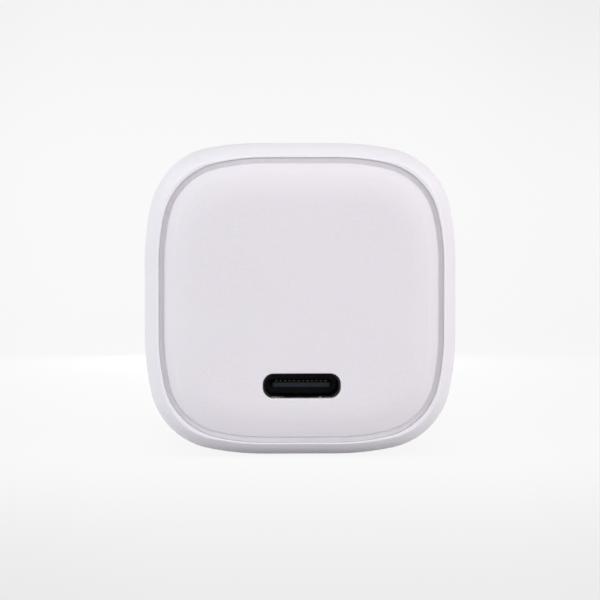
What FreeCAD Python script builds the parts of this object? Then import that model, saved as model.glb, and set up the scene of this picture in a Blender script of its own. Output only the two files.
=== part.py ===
import FreeCAD
import Part
import Sketcher
import math
import os

# A wall charger for laptops with one reversible socket in its front face and folding mains blades.
# X runs to the right of the front face, Y from the front face to the wall, Z up.
# The origin is under the middle of the case, on the surface that it lies on.

SIZES = {
    # Outline of the case, seen from the front
    "body_width": 35.0,
    "body_length": 41.0,
    "flat_half": 4.0,
    "shoulder_radius": 31.0,
    "corner_radius": 8.3,
    # Sleeve
    "shell_wall": 2.0,
    "flank_radius": 7.0,
    "rim_land": 0.17,
    "rim_edge_radius": 0.1,
    "seam_edge_radius": 0.1,
    "ledge_depth": 0.9,
    "ledge_thickness": 1.2,
    "rail_thickness": 0.8,
    "rail_grip": 1.6,
    "rail_length": 12.0,
    "rail_play": 0.1,
    # Front cover
    "face_inset": 1.61,
    "face_shoulder_radius": 25.0,
    "face_corner_radius": 7.6,
    "groove_width": 0.59,
    "groove_depth": 0.45,
    "crown_rise": 0.75,
    "crown_radius": 9.3,
    "crown_width": 4.0,
    "pillow_edge_radius": 0.28,
    "cover_wall": 1.9,
    "cover_play": 0.1,
    "mouth_play": 0.02,
    "flange_thickness": 1.6,
    "skirt_length": 3.0,
    "skirt_wall": 1.5,
    "hook_width": 6.0,
    "hook_reach": 0.5,
    "hook_thickness": 0.9,
    # Socket opening
    "port_width": 8.7,
    "port_height": 2.78,
    "port_rise": 8.0,
    "port_corner_radius": 1.2,
    "port_lip": 1.0,
    "port_edge_radius": 0.12,
    # Rear cover
    "rear_thickness": 2.4,
    "rear_edge_radius": 2.2,
    "spigot_length": 3.0,
    "spigot_wall": 1.4,
    "spigot_play": 0.1,
    "well_depth": 5.7,
    "well_wall": 1.2,
    "well_roof": 0.8,
    "scoop_height": 7.6,
    "scoop_depth": 4.6,
    "scoop_drop": 13.9,
    # Blades
    "blade_pitch": 12.7,
    "blade_width": 6.35,
    "blade_thickness": 1.5,
    "blade_reach": 16.5,
    "blade_tip_chamfer": 1.3,
    "blade_edge_chamfer": 0.35,
    "blade_hole_radius": 1.6,
    "blade_hole_reach": 11.9,
    "blade_play": 0.35,
    "shank_width": 4.0,
    "tail_width": 1.8,
    "tail_reach": 4.5,
    # Blade carriage and its bearings
    "hinge_drop": 8.6,
    "barrel_radius": 3.3,
    "barrel_sink": 0.1,
    "barrel_half": 9.2,
    "barrel_corner_radius": 2.0,
    "barrel_play": 0.3,
    "window_foot_play": 0.7,
    "journal_radius": 1.6,
    "journal_half": 11.0,
    "journal_play": 0.05,
    "cheek_thickness": 1.9,
    "detent_flat_depth": 0.2,
    "detent_half": 3.0,
    "retainer_thickness": 1.2,
    "retainer_play": 0.1,
    # Springs of the plug
    "spring_thickness": 0.25,
    "spring_gap": 0.04,
    "detent_spring_width": 5.0,
    "detent_spring_chord": 8.0,
    "contact_width": 2.4,
    "contact_height": 6.0,
    # Circuit boards
    "board_side_gap": 2.2,
    "board_nose_width": 17.0,
    "board_thickness": 1.2,
    "board_rear_gap": 0.4,
    "board_nose_length": 3.2,
    "board_front_gap": 0.3,
    "input_board_thickness": 1.0,
    "input_board_side_gap": 3.0,
    "input_board_top_drop": 2.6,
    "input_board_gap": 1.1,
    "tab_play": 0.1,
    "lead_radius": 0.3,
    "lead_play": 0.05,
    "lead_reach": 0.6,
    "board_pin_width": 0.6,
    "board_pin_height": 2.0,
    "board_pin_pitch": 4.0,
    # Socket
    "socket_width": 8.94,
    "socket_height": 3.16,
    "socket_length": 7.35,
    "socket_wall": 0.3,
    "socket_play": 0.13,
    "socket_setback": 0.05,
    "tongue_width": 6.69,
    "tongue_thickness": 0.7,
    "tongue_nose_chamfer": 0.12,
    "tongue_setback": 0.9,
    "tongue_length": 4.0,
    "tongue_play": 0.03,
    "strips_per_row": 12,
    "strip_pitch": 0.5,
    "strip_width": 0.26,
    "strip_thickness": 0.04,
    "strip_length": 2.9,
    # Transformer
    "core_side_gap": 2.3,
    "core_front_gap": 1.3,
    "core_rear_gap": 0.3,
    "core_roof_gap": 0.58,
    "core_rise": 1.1,
    "core_plate": 3.0,
    "core_leg_least": 2.4,
    "flange_play": 0.2,
    "flange_inset": 0.6,
    "flange_overhang": 0.1,
    "bobbin_play": 0.1,
    "bobbin_wall": 0.6,
    "bobbin_leg_width": 5.0,
    "bobbin_leg_thickness": 0.8,
    "winding_play": 0.05,
    "primary_build": 1.3,
    "winding_tape_build": 0.15,
    "secondary_build": 0.7,
    "core_tape_thickness": 0.12,
    "core_tape_width": 8.0,
    # Capacitors
    "bulk_front_gap": 1.7,
    "bulk_between": 0.2,
    "bulk_side_gap": 2.4,
    "bulk_roof_gap": 1.2,
    "bulk_lead_spread": 4.0,
    "bulk_board_gap": 2.6,
    "film_width": 6.0,
    "film_side_gap": 3.9,
    "film_height": 7.0,
    "film_length": 13.0,
    "film_lead_spread": 5.0,
    "film_gap": 0.5,
    "output_radius": 3.15,
    "output_height": 10.5,
    "output_between": 0.5,
    "output_front_gap": 0.15,
    "output_rail_gap": 0.2,
    "output_core_gap": 0.4,
    "crimp_radius": 0.5,
    "crimp_depth": 0.25,
    "crimp_place": 1.4,
    "seal_thickness": 0.4,
    "seal_inset": 0.6,
    "disc_radius": 3.5,
    "disc_thickness": 2.8,
    "disc_rise": 4.4,
    "disc_choke_gap": 0.6,
    "disc_lead_spread": 5.0,
    "disc_board_gap": 0.5,
    # Choke at the mains end
    "choke_radius": 3.9,
    "choke_bore_radius": 2.1,
    "choke_length": 3.6,
    "choke_winding_build": 0.7,
    "choke_gap": 2.2,
    "choke_base_floor": 0.6,
    "choke_base_height": 1.4,
    "choke_core_gap": 0.3,
    # Other electronics
    "fuse_depth": 3.6,
    "fuse_side_gap": 0.8,
    "fuse_disc_gap": 1.5,
    "fuse_roof_gap": 0.88,
    "fuse_board_gap": 0.2,
    "varistor_radius": 3.7,
    "varistor_thickness": 2.6,
    "varistor_side_gap": 1.2,
    "varistor_gap": 0.4,
    "varistor_lead_spread": 5.0,
    "bridge_size": 7.5,
    "bridge_thickness": 1.4,
    "bridge_rise": 4.0,
    "chip_thickness": 0.9,
    "switch_size": 8.0,
    "rectifier_width": 5.0,
    "rectifier_length": 6.0,
    "rectifier_inset": 0.1,
    "switch_centre_x": -4.2,
    "switch_gap": 0.7,
    "controller_size": 4.0,
    "controller_centre_x": -5.0,
    "controller_inset": 0.8,
    "coupler_width": 4.6,
    "coupler_length": 3.8,
    "coupler_height": 2.0,
    "coupler_centre_x": 3.5,
    "protocol_size": 3.0,
    "protocol_centre_x": -9.0,
    "protocol_gap": 0.5,
    "pad_thickness": 0.9,
    "spreader_thickness": 0.5,
    "spreader_width": 17.0,
    "spreader_front_gap": 0.6,
    "spreader_rear_gap": 0.9,
    "sheet_thickness": 0.2,
    "sheet_margin": 0.5,
    "small_part_length": 1.6,
    "small_part_width": 0.8,
    "small_part_height": 0.6,
    "small_part_pitch": 3.0,
    "small_column_x": 10.3,
}


class Size:
    """A length or a place worked out from the cells: the text of its expression and its number."""

    def __init__(self, text, value):
        self.text = text
        self.value = value

    def __str__(self):
        return self.text

    def __add__(self, other):
        other = as_size(other)
        return Size(f"({self} + {other})", self.value + other.value)

    __radd__ = __add__

    def __sub__(self, other):
        other = as_size(other)
        return Size(f"({self} - {other})", self.value - other.value)

    def __rsub__(self, other):
        return as_size(other) - self

    def __mul__(self, other):
        other = as_size(other)
        return Size(f"({self} * {other})", self.value * other.value)

    __rmul__ = __mul__

    def __truediv__(self, other):
        other = as_size(other)
        return Size(f"({self} / {other})", self.value / other.value)

    def __neg__(self):
        return Size(f"(-1 * {self})", -self.value)


def as_size(number):
    return number if isinstance(number, Size) else Size(str(number), float(number))


def root(size):
    return Size(f"sqrt({size})", math.sqrt(size.value))


def smaller(one, other):
    return Size(f"min({one}; {other})", min(one.value, other.value))


class Cells:
    """Gives each cell of the sheet by its alias."""

    def __getattr__(self, alias):
        return Size(f"Sizes.{alias}", float(getattr(sheet, alias)))


doc = FreeCAD.newDocument("charger")
sheet = doc.addObject("Spreadsheet::Sheet", "Sizes")
for row, (alias, number) in enumerate(SIZES.items(), start=1):
    sheet.set(f"A{row}", alias)
    sheet.set(f"B{row}", str(number))
    sheet.setAlias(f"B{row}", alias)
doc.recompute()
cell = Cells()
parts = []

# Places that several pieces share
ZERO = as_size(0)
half = cell.body_width / 2
inside_half = half - cell.shell_wall
centre_height = half
roof = cell.body_width - cell.shell_wall
front = -cell.body_length / 2
back = cell.body_length / 2
rim = front + cell.crown_rise
groove_floor = rim + cell.groove_depth
ledge = groove_floor + cell.flange_thickness
ledge_back = ledge + cell.ledge_thickness
skirt_end = ledge + cell.skirt_length
seam = back - cell.rear_thickness
well_front = seam - cell.well_depth
mouth_half = half - cell.face_inset
pillow_half = mouth_half - cell.groove_width

# Socket and boards
port_level = cell.port_rise - centre_height
board_top = cell.port_rise - cell.socket_height / 2
board_bottom = board_top - cell.board_thickness
board_half = inside_half - cell.board_side_gap
board_rear = well_front - cell.board_rear_gap
board_shoulder = skirt_end + cell.board_front_gap
socket_front = front + cell.port_lip + cell.socket_setback
socket_rear = socket_front + cell.socket_length
input_board_rear = well_front - cell.retainer_thickness - cell.input_board_gap
input_board_front = input_board_rear - cell.input_board_thickness
lead_end = input_board_rear + cell.lead_reach

# Plug
hinge_y = back - cell.barrel_radius - cell.barrel_sink
hinge_z = cell.body_width - cell.hinge_drop
hinge_level = hinge_z - centre_height
blade_tip_drop = cell.barrel_radius + cell.barrel_sink + cell.blade_reach
window_half = cell.barrel_half + cell.barrel_play
well_half = window_half + cell.cheek_thickness
tail_sweep = cell.tail_reach + cell.barrel_play
well_head = hinge_level + tail_sweep + cell.well_roof

# Long capacitors under the roof
film_left = inside_half - cell.film_side_gap - cell.film_width
bulk_room = film_left - cell.film_gap - cell.bulk_side_gap + inside_half
bulk_radius = (bulk_room - cell.bulk_between) / 4
bulk_z = roof - cell.bulk_roof_gap - bulk_radius
bulk_front = skirt_end + cell.bulk_front_gap
bulk_rear = input_board_front - cell.bulk_board_gap
bulk_left_x = cell.bulk_side_gap + bulk_radius - inside_half
bulk_right_x = bulk_left_x + bulk_radius * 2 + cell.bulk_between

# Output capacitors, and the room that they and the fuse leave for the transformer
output_x = board_half - cell.rail_grip - cell.output_rail_gap - cell.output_radius
output_front_y = board_shoulder + cell.output_front_gap + cell.output_radius
output_rear_y = output_front_y + cell.output_radius * 2 + cell.output_between
fuse_front = input_board_front - cell.fuse_board_gap - cell.fuse_depth
core_left = cell.core_side_gap - inside_half
core_right = output_x - cell.output_radius - cell.output_core_gap
core_width = core_right - core_left
core_x = (core_left + core_right) / 2
core_front = socket_rear + cell.core_front_gap + cell.bobbin_leg_thickness + cell.bobbin_play
core_rear = fuse_front - cell.core_rear_gap - cell.bobbin_leg_thickness - cell.bobbin_play
core_depth = core_rear - core_front
core_y = (core_front + core_rear) / 2
core_foot = board_top + cell.core_rise
core_height = bulk_z - bulk_radius - cell.core_roof_gap - core_foot
flange_radius = smaller(
    core_width / 2 - cell.core_leg_least - cell.flange_play,
    core_depth / 2 - cell.flange_inset,
)
core_leg = core_width / 2 - cell.flange_play - flange_radius
winding_builds = cell.primary_build + cell.winding_tape_build + cell.secondary_build
post_radius = (
    flange_radius
    - cell.flange_overhang
    - winding_builds
    - cell.winding_play * 3
    - cell.bobbin_wall
    - cell.bobbin_play
)

# Choke, disc, fuse and varistor
choke_outer = cell.choke_radius + cell.choke_winding_build
choke_x = core_right + cell.choke_core_gap + choke_outer
choke_y = (output_rear_y + cell.output_radius + input_board_front) / 2
disc_x = choke_x - choke_outer - cell.disc_choke_gap - cell.disc_radius
disc_z = board_top + cell.disc_rise
fuse_left = core_left + cell.fuse_side_gap
fuse_right = disc_x - cell.disc_radius - cell.fuse_disc_gap
varistor_x = disc_x - cell.disc_radius - cell.varistor_side_gap - cell.varistor_radius
varistor_z = bulk_z - bulk_radius - cell.varistor_gap - cell.varistor_radius
fuse_top = varistor_z - cell.varistor_radius - cell.fuse_roof_gap

# What hangs under the main board
chip_foot = board_bottom - cell.chip_thickness
spreader_top = chip_foot - cell.pad_thickness
spreader_foot = spreader_top - cell.spreader_thickness
spreader_front = board_shoulder + cell.spreader_front_gap
rectifier_y = spreader_front + cell.rectifier_inset + cell.rectifier_length / 2
switch_y = rectifier_y + cell.rectifier_length / 2 + cell.switch_gap + cell.switch_size / 2
controller_y = board_rear - cell.controller_inset - cell.controller_size / 2
spreader_rear = controller_y - cell.controller_size / 2 - cell.spreader_rear_gap
spreader_length = spreader_rear - spreader_front


def piece(shape, name):
    """Names a finished piece and puts it on the list of pieces to write."""
    shape.Label = name
    parts.append(shape)
    return shape


def bind(thing, **sizes):
    for prop, size in sizes.items():
        thing.setExpression(prop, str(size))
    return thing


def place(thing, x, y, z):
    for axis, size in zip("xyz", (x, y, z)):
        thing.setExpression(f"Placement.Base.{axis}", str(size))
    return thing


def block(name, x, y, z, width, depth, height):
    """A box from its lowest corner."""
    box = doc.addObject("Part::Box", name)
    bind(box, Length=width, Width=depth, Height=height)
    return place(box, x, y, z)


ALONG = {
    "X": FreeCAD.Rotation(FreeCAD.Vector(0, 1, 0), 90),
    "Y": FreeCAD.Rotation(FreeCAD.Vector(1, 0, 0), -90),
    "Z": FreeCAD.Rotation(),
}


def rod(name, radius, length, x, y, z, along="Z"):
    """A cylinder from the middle of its first end."""
    cylinder = doc.addObject("Part::Cylinder", name)
    bind(cylinder, Radius=radius, Height=length)
    cylinder.Placement.Rotation = ALONG[along]
    return place(cylinder, x, y, z)


def cut(name, base, tool):
    result = doc.addObject("Part::Cut", name)
    result.Base = base
    result.Tool = tool
    return result


def fuse(name, *shapes):
    result = doc.addObject("Part::MultiFuse", name)
    result.Shapes = list(shapes)
    return result


def common(name, *shapes):
    result = doc.addObject("Part::MultiCommon", name)
    result.Shapes = list(shapes)
    return result


def group(name, shapes):
    result = doc.addObject("Part::Compound", name)
    result.Links = list(shapes)
    return result


def new_body(name):
    return doc.addObject("PartDesign::Body", name)


def sketch_on(body, name, plane, station, across=0, up=0):
    """A sketch on a plane parallel to one of the body's own, at a station along that plane's axis."""
    sketch = body.newObject("Sketcher::SketchObject", name)
    support = [o for o in body.Origin.OriginFeatures if o.Role == plane][0]
    sketch.AttachmentSupport = [(support, "")]
    sketch.MapMode = "FlatFace"
    offset = -station if plane == "XZ_Plane" else station
    for axis, size in zip("xyz", (across, up, offset)):
        sketch.setExpression(f"AttachmentOffset.Base.{axis}", str(size))
    return sketch


def front_sketch(body, name, station):
    """A sketch seen from the front, with its origin on the case's middle line."""
    return sketch_on(body, name, "XZ_Plane", station, 0, centre_height)


def side_sketch(body, name, station=ZERO):
    """A sketch seen from the side, with its origin on the blades' hinge line."""
    return sketch_on(body, name, "YZ_Plane", station, hinge_y, hinge_z)


def vector(x, y):
    return FreeCAD.Vector(x, y, 0)


def size_constraint(sketch, kind, size, *where):
    index = sketch.addConstraint(Sketcher.Constraint(kind, *where, size.value))
    sketch.setExpression(f"Constraints[{index}]", str(size))


def rectangle(sketch, left, bottom, right, top):
    """Four lines; each side's place is a size from the sketch's origin."""
    low = vector(left.value, bottom.value)
    high = vector(right.value, top.value)
    corners = [low, vector(high.x, low.y), high, vector(low.x, high.y)]
    lines = [
        sketch.addGeometry(Part.LineSegment(corners[i], corners[(i + 1) % 4]))
        for i in range(4)
    ]
    for i in range(4):
        sketch.addConstraint(Sketcher.Constraint("Coincident", lines[i], 2, lines[(i + 1) % 4], 1))
    for i in (0, 2):
        sketch.addConstraint(Sketcher.Constraint("Horizontal", lines[i]))
        sketch.addConstraint(Sketcher.Constraint("Vertical", lines[i + 1]))
    size_constraint(sketch, "DistanceX", left, lines[0], 1)
    size_constraint(sketch, "DistanceY", bottom, lines[0], 1)
    size_constraint(sketch, "DistanceX", right, lines[2], 1)
    size_constraint(sketch, "DistanceY", top, lines[2], 1)


def circle(sketch, radius, x, y):
    centre = vector(x.value, y.value)
    geo = sketch.addGeometry(Part.Circle(centre, FreeCAD.Vector(0, 0, 1), radius.value))
    size_constraint(sketch, "Radius", radius, geo)
    size_constraint(sketch, "DistanceX", x, geo, 3)
    size_constraint(sketch, "DistanceY", y, geo, 3)


def stadium(sketch, width, height, x, y):
    """A slot with round ends, lying along the sketch's first axis."""
    reach = (width - height) / 2
    radius = height / 2
    right = vector((x + reach).value, y.value)
    left = vector((x - reach).value, y.value)
    rise = vector(0, radius.value)
    axis = FreeCAD.Vector(0, 0, 1)
    quarter = math.pi / 2
    arcs = [
        Part.ArcOfCircle(Part.Circle(right, axis, radius.value), -quarter, quarter),
        Part.ArcOfCircle(Part.Circle(left, axis, radius.value), quarter, 3 * quarter),
    ]
    top = Part.LineSegment(right + rise, left + rise)
    bottom = Part.LineSegment(left - rise, right - rise)
    loop = [sketch.addGeometry(g) for g in (arcs[0], top, arcs[1], bottom)]
    for i in range(4):
        sketch.addConstraint(Sketcher.Constraint("Tangent", loop[i], 2, loop[(i + 1) % 4], 1))
    sketch.addConstraint(Sketcher.Constraint("Equal", loop[0], loop[2]))
    size_constraint(sketch, "Radius", radius, loop[0])
    for arc, end in ((loop[0], x + reach), (loop[2], x - reach)):
        size_constraint(sketch, "DistanceX", end, arc, 3)
    size_constraint(sketch, "DistanceY", y, loop[0], 3)
    sketch.addConstraint(Sketcher.Constraint("Horizontal", loop[1]))


def round_rectangle(sketch, width, height, corner, x, y):
    """A rectangle with round corners, from its middle."""
    centre = vector(x.value, y.value)
    axis = FreeCAD.Vector(0, 0, 1)
    inner_x = width.value / 2 - corner.value
    inner_y = height.value / 2 - corner.value
    loop = []
    for side in range(4):
        spin = FreeCAD.Rotation(axis, 90 * side)
        reach, rise = (inner_x, inner_y) if side % 2 == 0 else (inner_y, inner_x)
        ends = [centre + spin.multVec(vector(reach + corner.value, s * rise)) for s in (-1, 1)]
        loop.append(sketch.addGeometry(Part.LineSegment(*ends)))
        hub = centre + spin.multVec(vector(reach, rise))
        ring = Part.Circle(hub, axis, corner.value)
        begin = math.pi / 2 * side
        loop.append(sketch.addGeometry(Part.ArcOfCircle(ring, begin, begin + math.pi / 2)))
    for i in range(8):
        sketch.addConstraint(Sketcher.Constraint("Tangent", loop[i], 2, loop[(i + 1) % 8], 1))
    for side, kind in enumerate(("Vertical", "Horizontal") * 2):
        sketch.addConstraint(Sketcher.Constraint(kind, loop[2 * side]))
    size_constraint(sketch, "Radius", corner, loop[1])
    for side in (1, 2, 3):
        sketch.addConstraint(Sketcher.Constraint("Equal", loop[1], loop[2 * side + 1]))
    size_constraint(sketch, "DistanceX", x + width / 2, loop[0], 1)
    size_constraint(sketch, "DistanceY", y + height / 2, loop[2], 1)
    size_constraint(sketch, "DistanceX", x - width / 2, loop[4], 1)
    size_constraint(sketch, "DistanceY", y - height / 2, loop[6], 1)


def squircle(sketch, reach, shoulder, corner):
    """The case's outline: on each side a straight stretch, and between two sides a wide arc, a corner arc
    and a wide arc, all tangent. reach is from the middle to a side."""
    a, f = reach.value, cell.flat_half.value
    wide, tight = shoulder.value, corner.value
    turn = math.acos((wide - a + f) / (wide - tight) / math.sqrt(2)) - math.pi / 4
    diagonal = f + (wide - tight) * math.sin(turn)
    arcs = (
        (vector(a - wide, f), wide, 0, turn),
        (vector(diagonal, diagonal), tight, turn, math.pi / 2 - turn),
        (vector(f, a - wide), wide, math.pi / 2 - turn, math.pi / 2),
    )
    loop = []
    for side in range(4):
        angle = side * math.pi / 2
        spin = FreeCAD.Rotation(FreeCAD.Vector(0, 0, 1), math.degrees(angle))
        ends = [spin.multVec(vector(a, s * f)) for s in (-1, 1)]
        loop.append(sketch.addGeometry(Part.LineSegment(*ends)))
        for centre, radius, begin, end in arcs:
            ring = Part.Circle(spin.multVec(centre), FreeCAD.Vector(0, 0, 1), radius)
            loop.append(sketch.addGeometry(Part.ArcOfCircle(ring, begin + angle, end + angle)))
    for i in range(16):
        sketch.addConstraint(Sketcher.Constraint("Tangent", loop[i], 2, loop[(i + 1) % 16], 1))
    outward = (("DistanceX", 1), ("DistanceY", 1), ("DistanceX", -1), ("DistanceY", -1))
    for side, (kind, sign) in enumerate(outward):
        line = loop[4 * side]
        middle_line = -1 if kind == "DistanceX" else -2
        sketch.addConstraint(Sketcher.Constraint("Symmetric", line, 1, line, 2, middle_line))
        size_constraint(sketch, kind, reach * sign, line, 1)
        if side:
            sketch.addConstraint(Sketcher.Constraint("Equal", line, loop[0]))
    size_constraint(sketch, "Distance", cell.flat_half * 2, loop[0])
    wide_arcs = [loop[4 * side + i] for side in range(4) for i in (1, 3)]
    corner_arcs = [loop[4 * side + 2] for side in range(4)]
    for arc_set, size in ((wide_arcs, shoulder), (corner_arcs, corner)):
        size_constraint(sketch, "Radius", size, arc_set[0])
        for arc in arc_set[1:]:
            sketch.addConstraint(Sketcher.Constraint("Equal", arc, arc_set[0]))


def body_outline(sketch, inset=ZERO):
    squircle(sketch, half - inset, cell.shoulder_radius - inset, cell.corner_radius - inset)


def face_outline(sketch, inset=ZERO):
    squircle(
        sketch,
        mouth_half - inset,
        cell.face_shoulder_radius - inset,
        cell.face_corner_radius - inset,
    )


def outer_frame(sketch):
    """A square well outside the case, so that a pocket takes away all that lies outside an outline."""
    reach = cell.body_width
    rectangle(sketch, -reach, -reach, reach, reach)


def pad(body, sketch, length, towards="front"):
    feature = body.newObject("PartDesign::Pad", sketch.Name + "_pad")
    feature.Profile = sketch
    bind(feature, Length=length)
    feature.Reversed = towards == "back"
    feature.Midplane = towards == "both"
    sketch.Visibility = False
    doc.recompute()
    return feature


def pocket(body, sketch, length, towards="back"):
    before = body.Tip.Shape.Volume
    feature = body.newObject("PartDesign::Pocket", sketch.Name + "_pocket")
    feature.Profile = sketch
    bind(feature, Length=length)
    feature.Reversed = towards == "front"
    feature.Midplane = towards == "both"
    sketch.Visibility = False
    doc.recompute()
    if feature.Shape.Volume > before - 1e-6:
        raise RuntimeError(f"{sketch.Name} cut nothing")
    return feature


def edges_where(feature, test):
    return [f"Edge{i}" for i, edge in enumerate(feature.Shape.Edges, start=1) if test(edge)]


def on_station(edge, station):
    """True for an edge that lies across the case at one place along its length."""
    box = edge.BoundBox
    return abs(box.YMin - station) < 1e-4 and abs(box.YMax - station) < 1e-4


def round_edges(body, name, radius, test, kind="PartDesign::Fillet"):
    base = body.Tip
    feature = body.newObject(kind, name)
    feature.Base = (base, edges_where(base, test))
    bind(feature, **{"Radius" if kind.endswith("Fillet") else "Size": radius})
    doc.recompute()
    return feature


def make_sleeve():
    """The outer sleeve, with a flank that narrows to a thin rim at the mouth, and a ledge behind it."""
    body = new_body("Sleeve")
    inset = cell.face_inset - cell.rim_land
    overshoot = cell.flank_radius - root(
        cell.flank_radius * cell.flank_radius
        - (cell.flank_radius - inset) * (cell.flank_radius - inset)
    )
    nose = rim - overshoot
    outline = front_sketch(body, "sleeve_outline", nose)
    body_outline(outline)
    pad(body, outline, seam - nose, "back")
    nose_place = nose.value
    round_edges(body, "sleeve_flank", cell.flank_radius, lambda e: on_station(e, nose_place))
    seam_place = seam.value
    round_edges(body, "sleeve_seam_edge", cell.seam_edge_radius, lambda e: on_station(e, seam_place))
    trim = front_sketch(body, "sleeve_trim", rim)
    outer_frame(trim)
    pocket(body, trim, overshoot + 1, "front")
    mouth = front_sketch(body, "sleeve_mouth", rim)
    face_outline(mouth)
    pocket(body, mouth, ledge - rim)
    throat = front_sketch(body, "sleeve_throat", ledge)
    face_outline(throat, cell.ledge_depth)
    pocket(body, throat, cell.ledge_thickness)
    inside = front_sketch(body, "sleeve_inside", seam)
    body_outline(inside, cell.shell_wall)
    pocket(body, inside, seam - ledge_back, "front")
    rim_place = rim.value
    reach = mouth_half.value + 1e-3

    def mouth_edge(edge):
        return on_station(edge, rim_place) and edge.BoundBox.XMax < reach + cell.rim_land.value / 2

    round_edges(body, "sleeve_rim_edge", cell.rim_edge_radius, mouth_edge)
    rails = front_sketch(body, "sleeve_rails", board_shoulder)
    into_wall = half - cell.shell_wall * 1.25
    for side in (-1, 1):
        inner = (board_half - cell.rail_grip) * side
        outer = into_wall * side
        left, right = (inner, outer) if side > 0 else (outer, inner)
        top = board_bottom - centre_height - cell.rail_play
        rectangle(rails, left, top - cell.rail_thickness, right, top)
        foot = board_top - centre_height + cell.rail_play
        rectangle(rails, left, foot, right, foot + cell.rail_thickness)
    pad(body, rails, cell.rail_length, "back")
    return piece(body, "sleeve")


def make_front_cover():
    """The pillow-shaped face: a crowned plate with a flange that seats on the sleeve's ledge and a skirt
    with snap hooks that pass behind it."""
    body = new_body("FrontCover")
    dome_margin = cell.crown_radius - cell.crown_width
    blank = front_sketch(body, "cover_blank", front)
    face_outline(blank, cell.groove_width - dome_margin)
    pad(body, blank, cell.crown_radius + 1, "back")
    front_place = front.value
    round_edges(body, "cover_crown", cell.crown_radius, lambda e: on_station(e, front_place))
    skirt_inset = cell.ledge_depth + cell.cover_play
    steps = (
        ("cover_pillow", front, groove_floor, cell.groove_width),
        ("cover_flange", groove_floor, ledge, cell.mouth_play),
        ("cover_skirt", ledge, skirt_end, skirt_inset),
    )
    for name, start, end, inset in steps:
        outside = front_sketch(body, name, start)
        outer_frame(outside)
        face_outline(outside, inset)
        pocket(body, outside, end - start)
    tail = front_sketch(body, "cover_tail", skirt_end)
    outer_frame(tail)
    pocket(body, tail, cell.crown_radius + 2)
    hollow = front_sketch(body, "cover_hollow", skirt_end)
    face_outline(hollow, skirt_inset + cell.skirt_wall)
    pocket(body, hollow, skirt_end - front - cell.cover_wall, "front")

    boss = front_sketch(body, "cover_socket_boss", front + cell.cover_wall)
    boss_wall = cell.skirt_wall
    stadium(
        boss,
        cell.socket_width + boss_wall * 2,
        cell.socket_height + boss_wall * 2,
        ZERO,
        port_level,
    )
    pad(body, boss, ledge - front - cell.cover_wall, "back")
    seat = front_sketch(body, "cover_socket_seat", front + cell.port_lip)
    stadium(
        seat,
        cell.socket_width + cell.socket_play * 2,
        cell.socket_height + cell.socket_play * 2,
        ZERO,
        port_level,
    )
    pocket(body, seat, skirt_end - front)
    port = front_sketch(body, "cover_port", front)
    corner = cell.port_corner_radius
    round_rectangle(port, cell.port_width, cell.port_height, corner, ZERO, port_level)
    pocket(body, port, cell.port_lip + 1)

    groove_place = groove_floor.value
    reach = pillow_half.value

    def port_edge(edge):
        return on_station(edge, front_place) and edge.BoundBox.XMax < cell.port_width.value

    round_edges(body, "cover_port_edge", cell.port_edge_radius, port_edge)

    def pillow_edge(edge):
        box = edge.BoundBox
        at_side = max(abs(box.XMin), abs(box.XMax), abs(box.ZMin - half.value), abs(box.ZMax - half.value))
        across = box.YMax < groove_place - 1e-3 and box.YMin > front_place + 1e-3
        return across and at_side > reach * 0.75 and not edge_along_depth(edge)

    round_edges(body, "cover_pillow_edge", cell.pillow_edge_radius, pillow_edge)
    hooks = front_sketch(body, "cover_hooks", ledge_back + cell.cover_play)
    root_place = mouth_half - skirt_inset - cell.skirt_wall / 2
    tip_place = mouth_half - skirt_inset + cell.hook_reach
    wide = cell.hook_width / 2
    for side in (-1, 1):
        low, high = (root_place, tip_place) if side > 0 else (-tip_place, -root_place)
        rectangle(hooks, low, -wide, high, wide)
        rectangle(hooks, -wide, low, wide, high)
    pad(body, hooks, cell.hook_thickness, "back")
    return piece(body, "front_cover")


def edge_along_depth(edge):
    """True for a straight edge that runs from front to back."""
    box = edge.BoundBox
    return box.XLength < 1e-4 and box.ZLength < 1e-4


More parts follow.
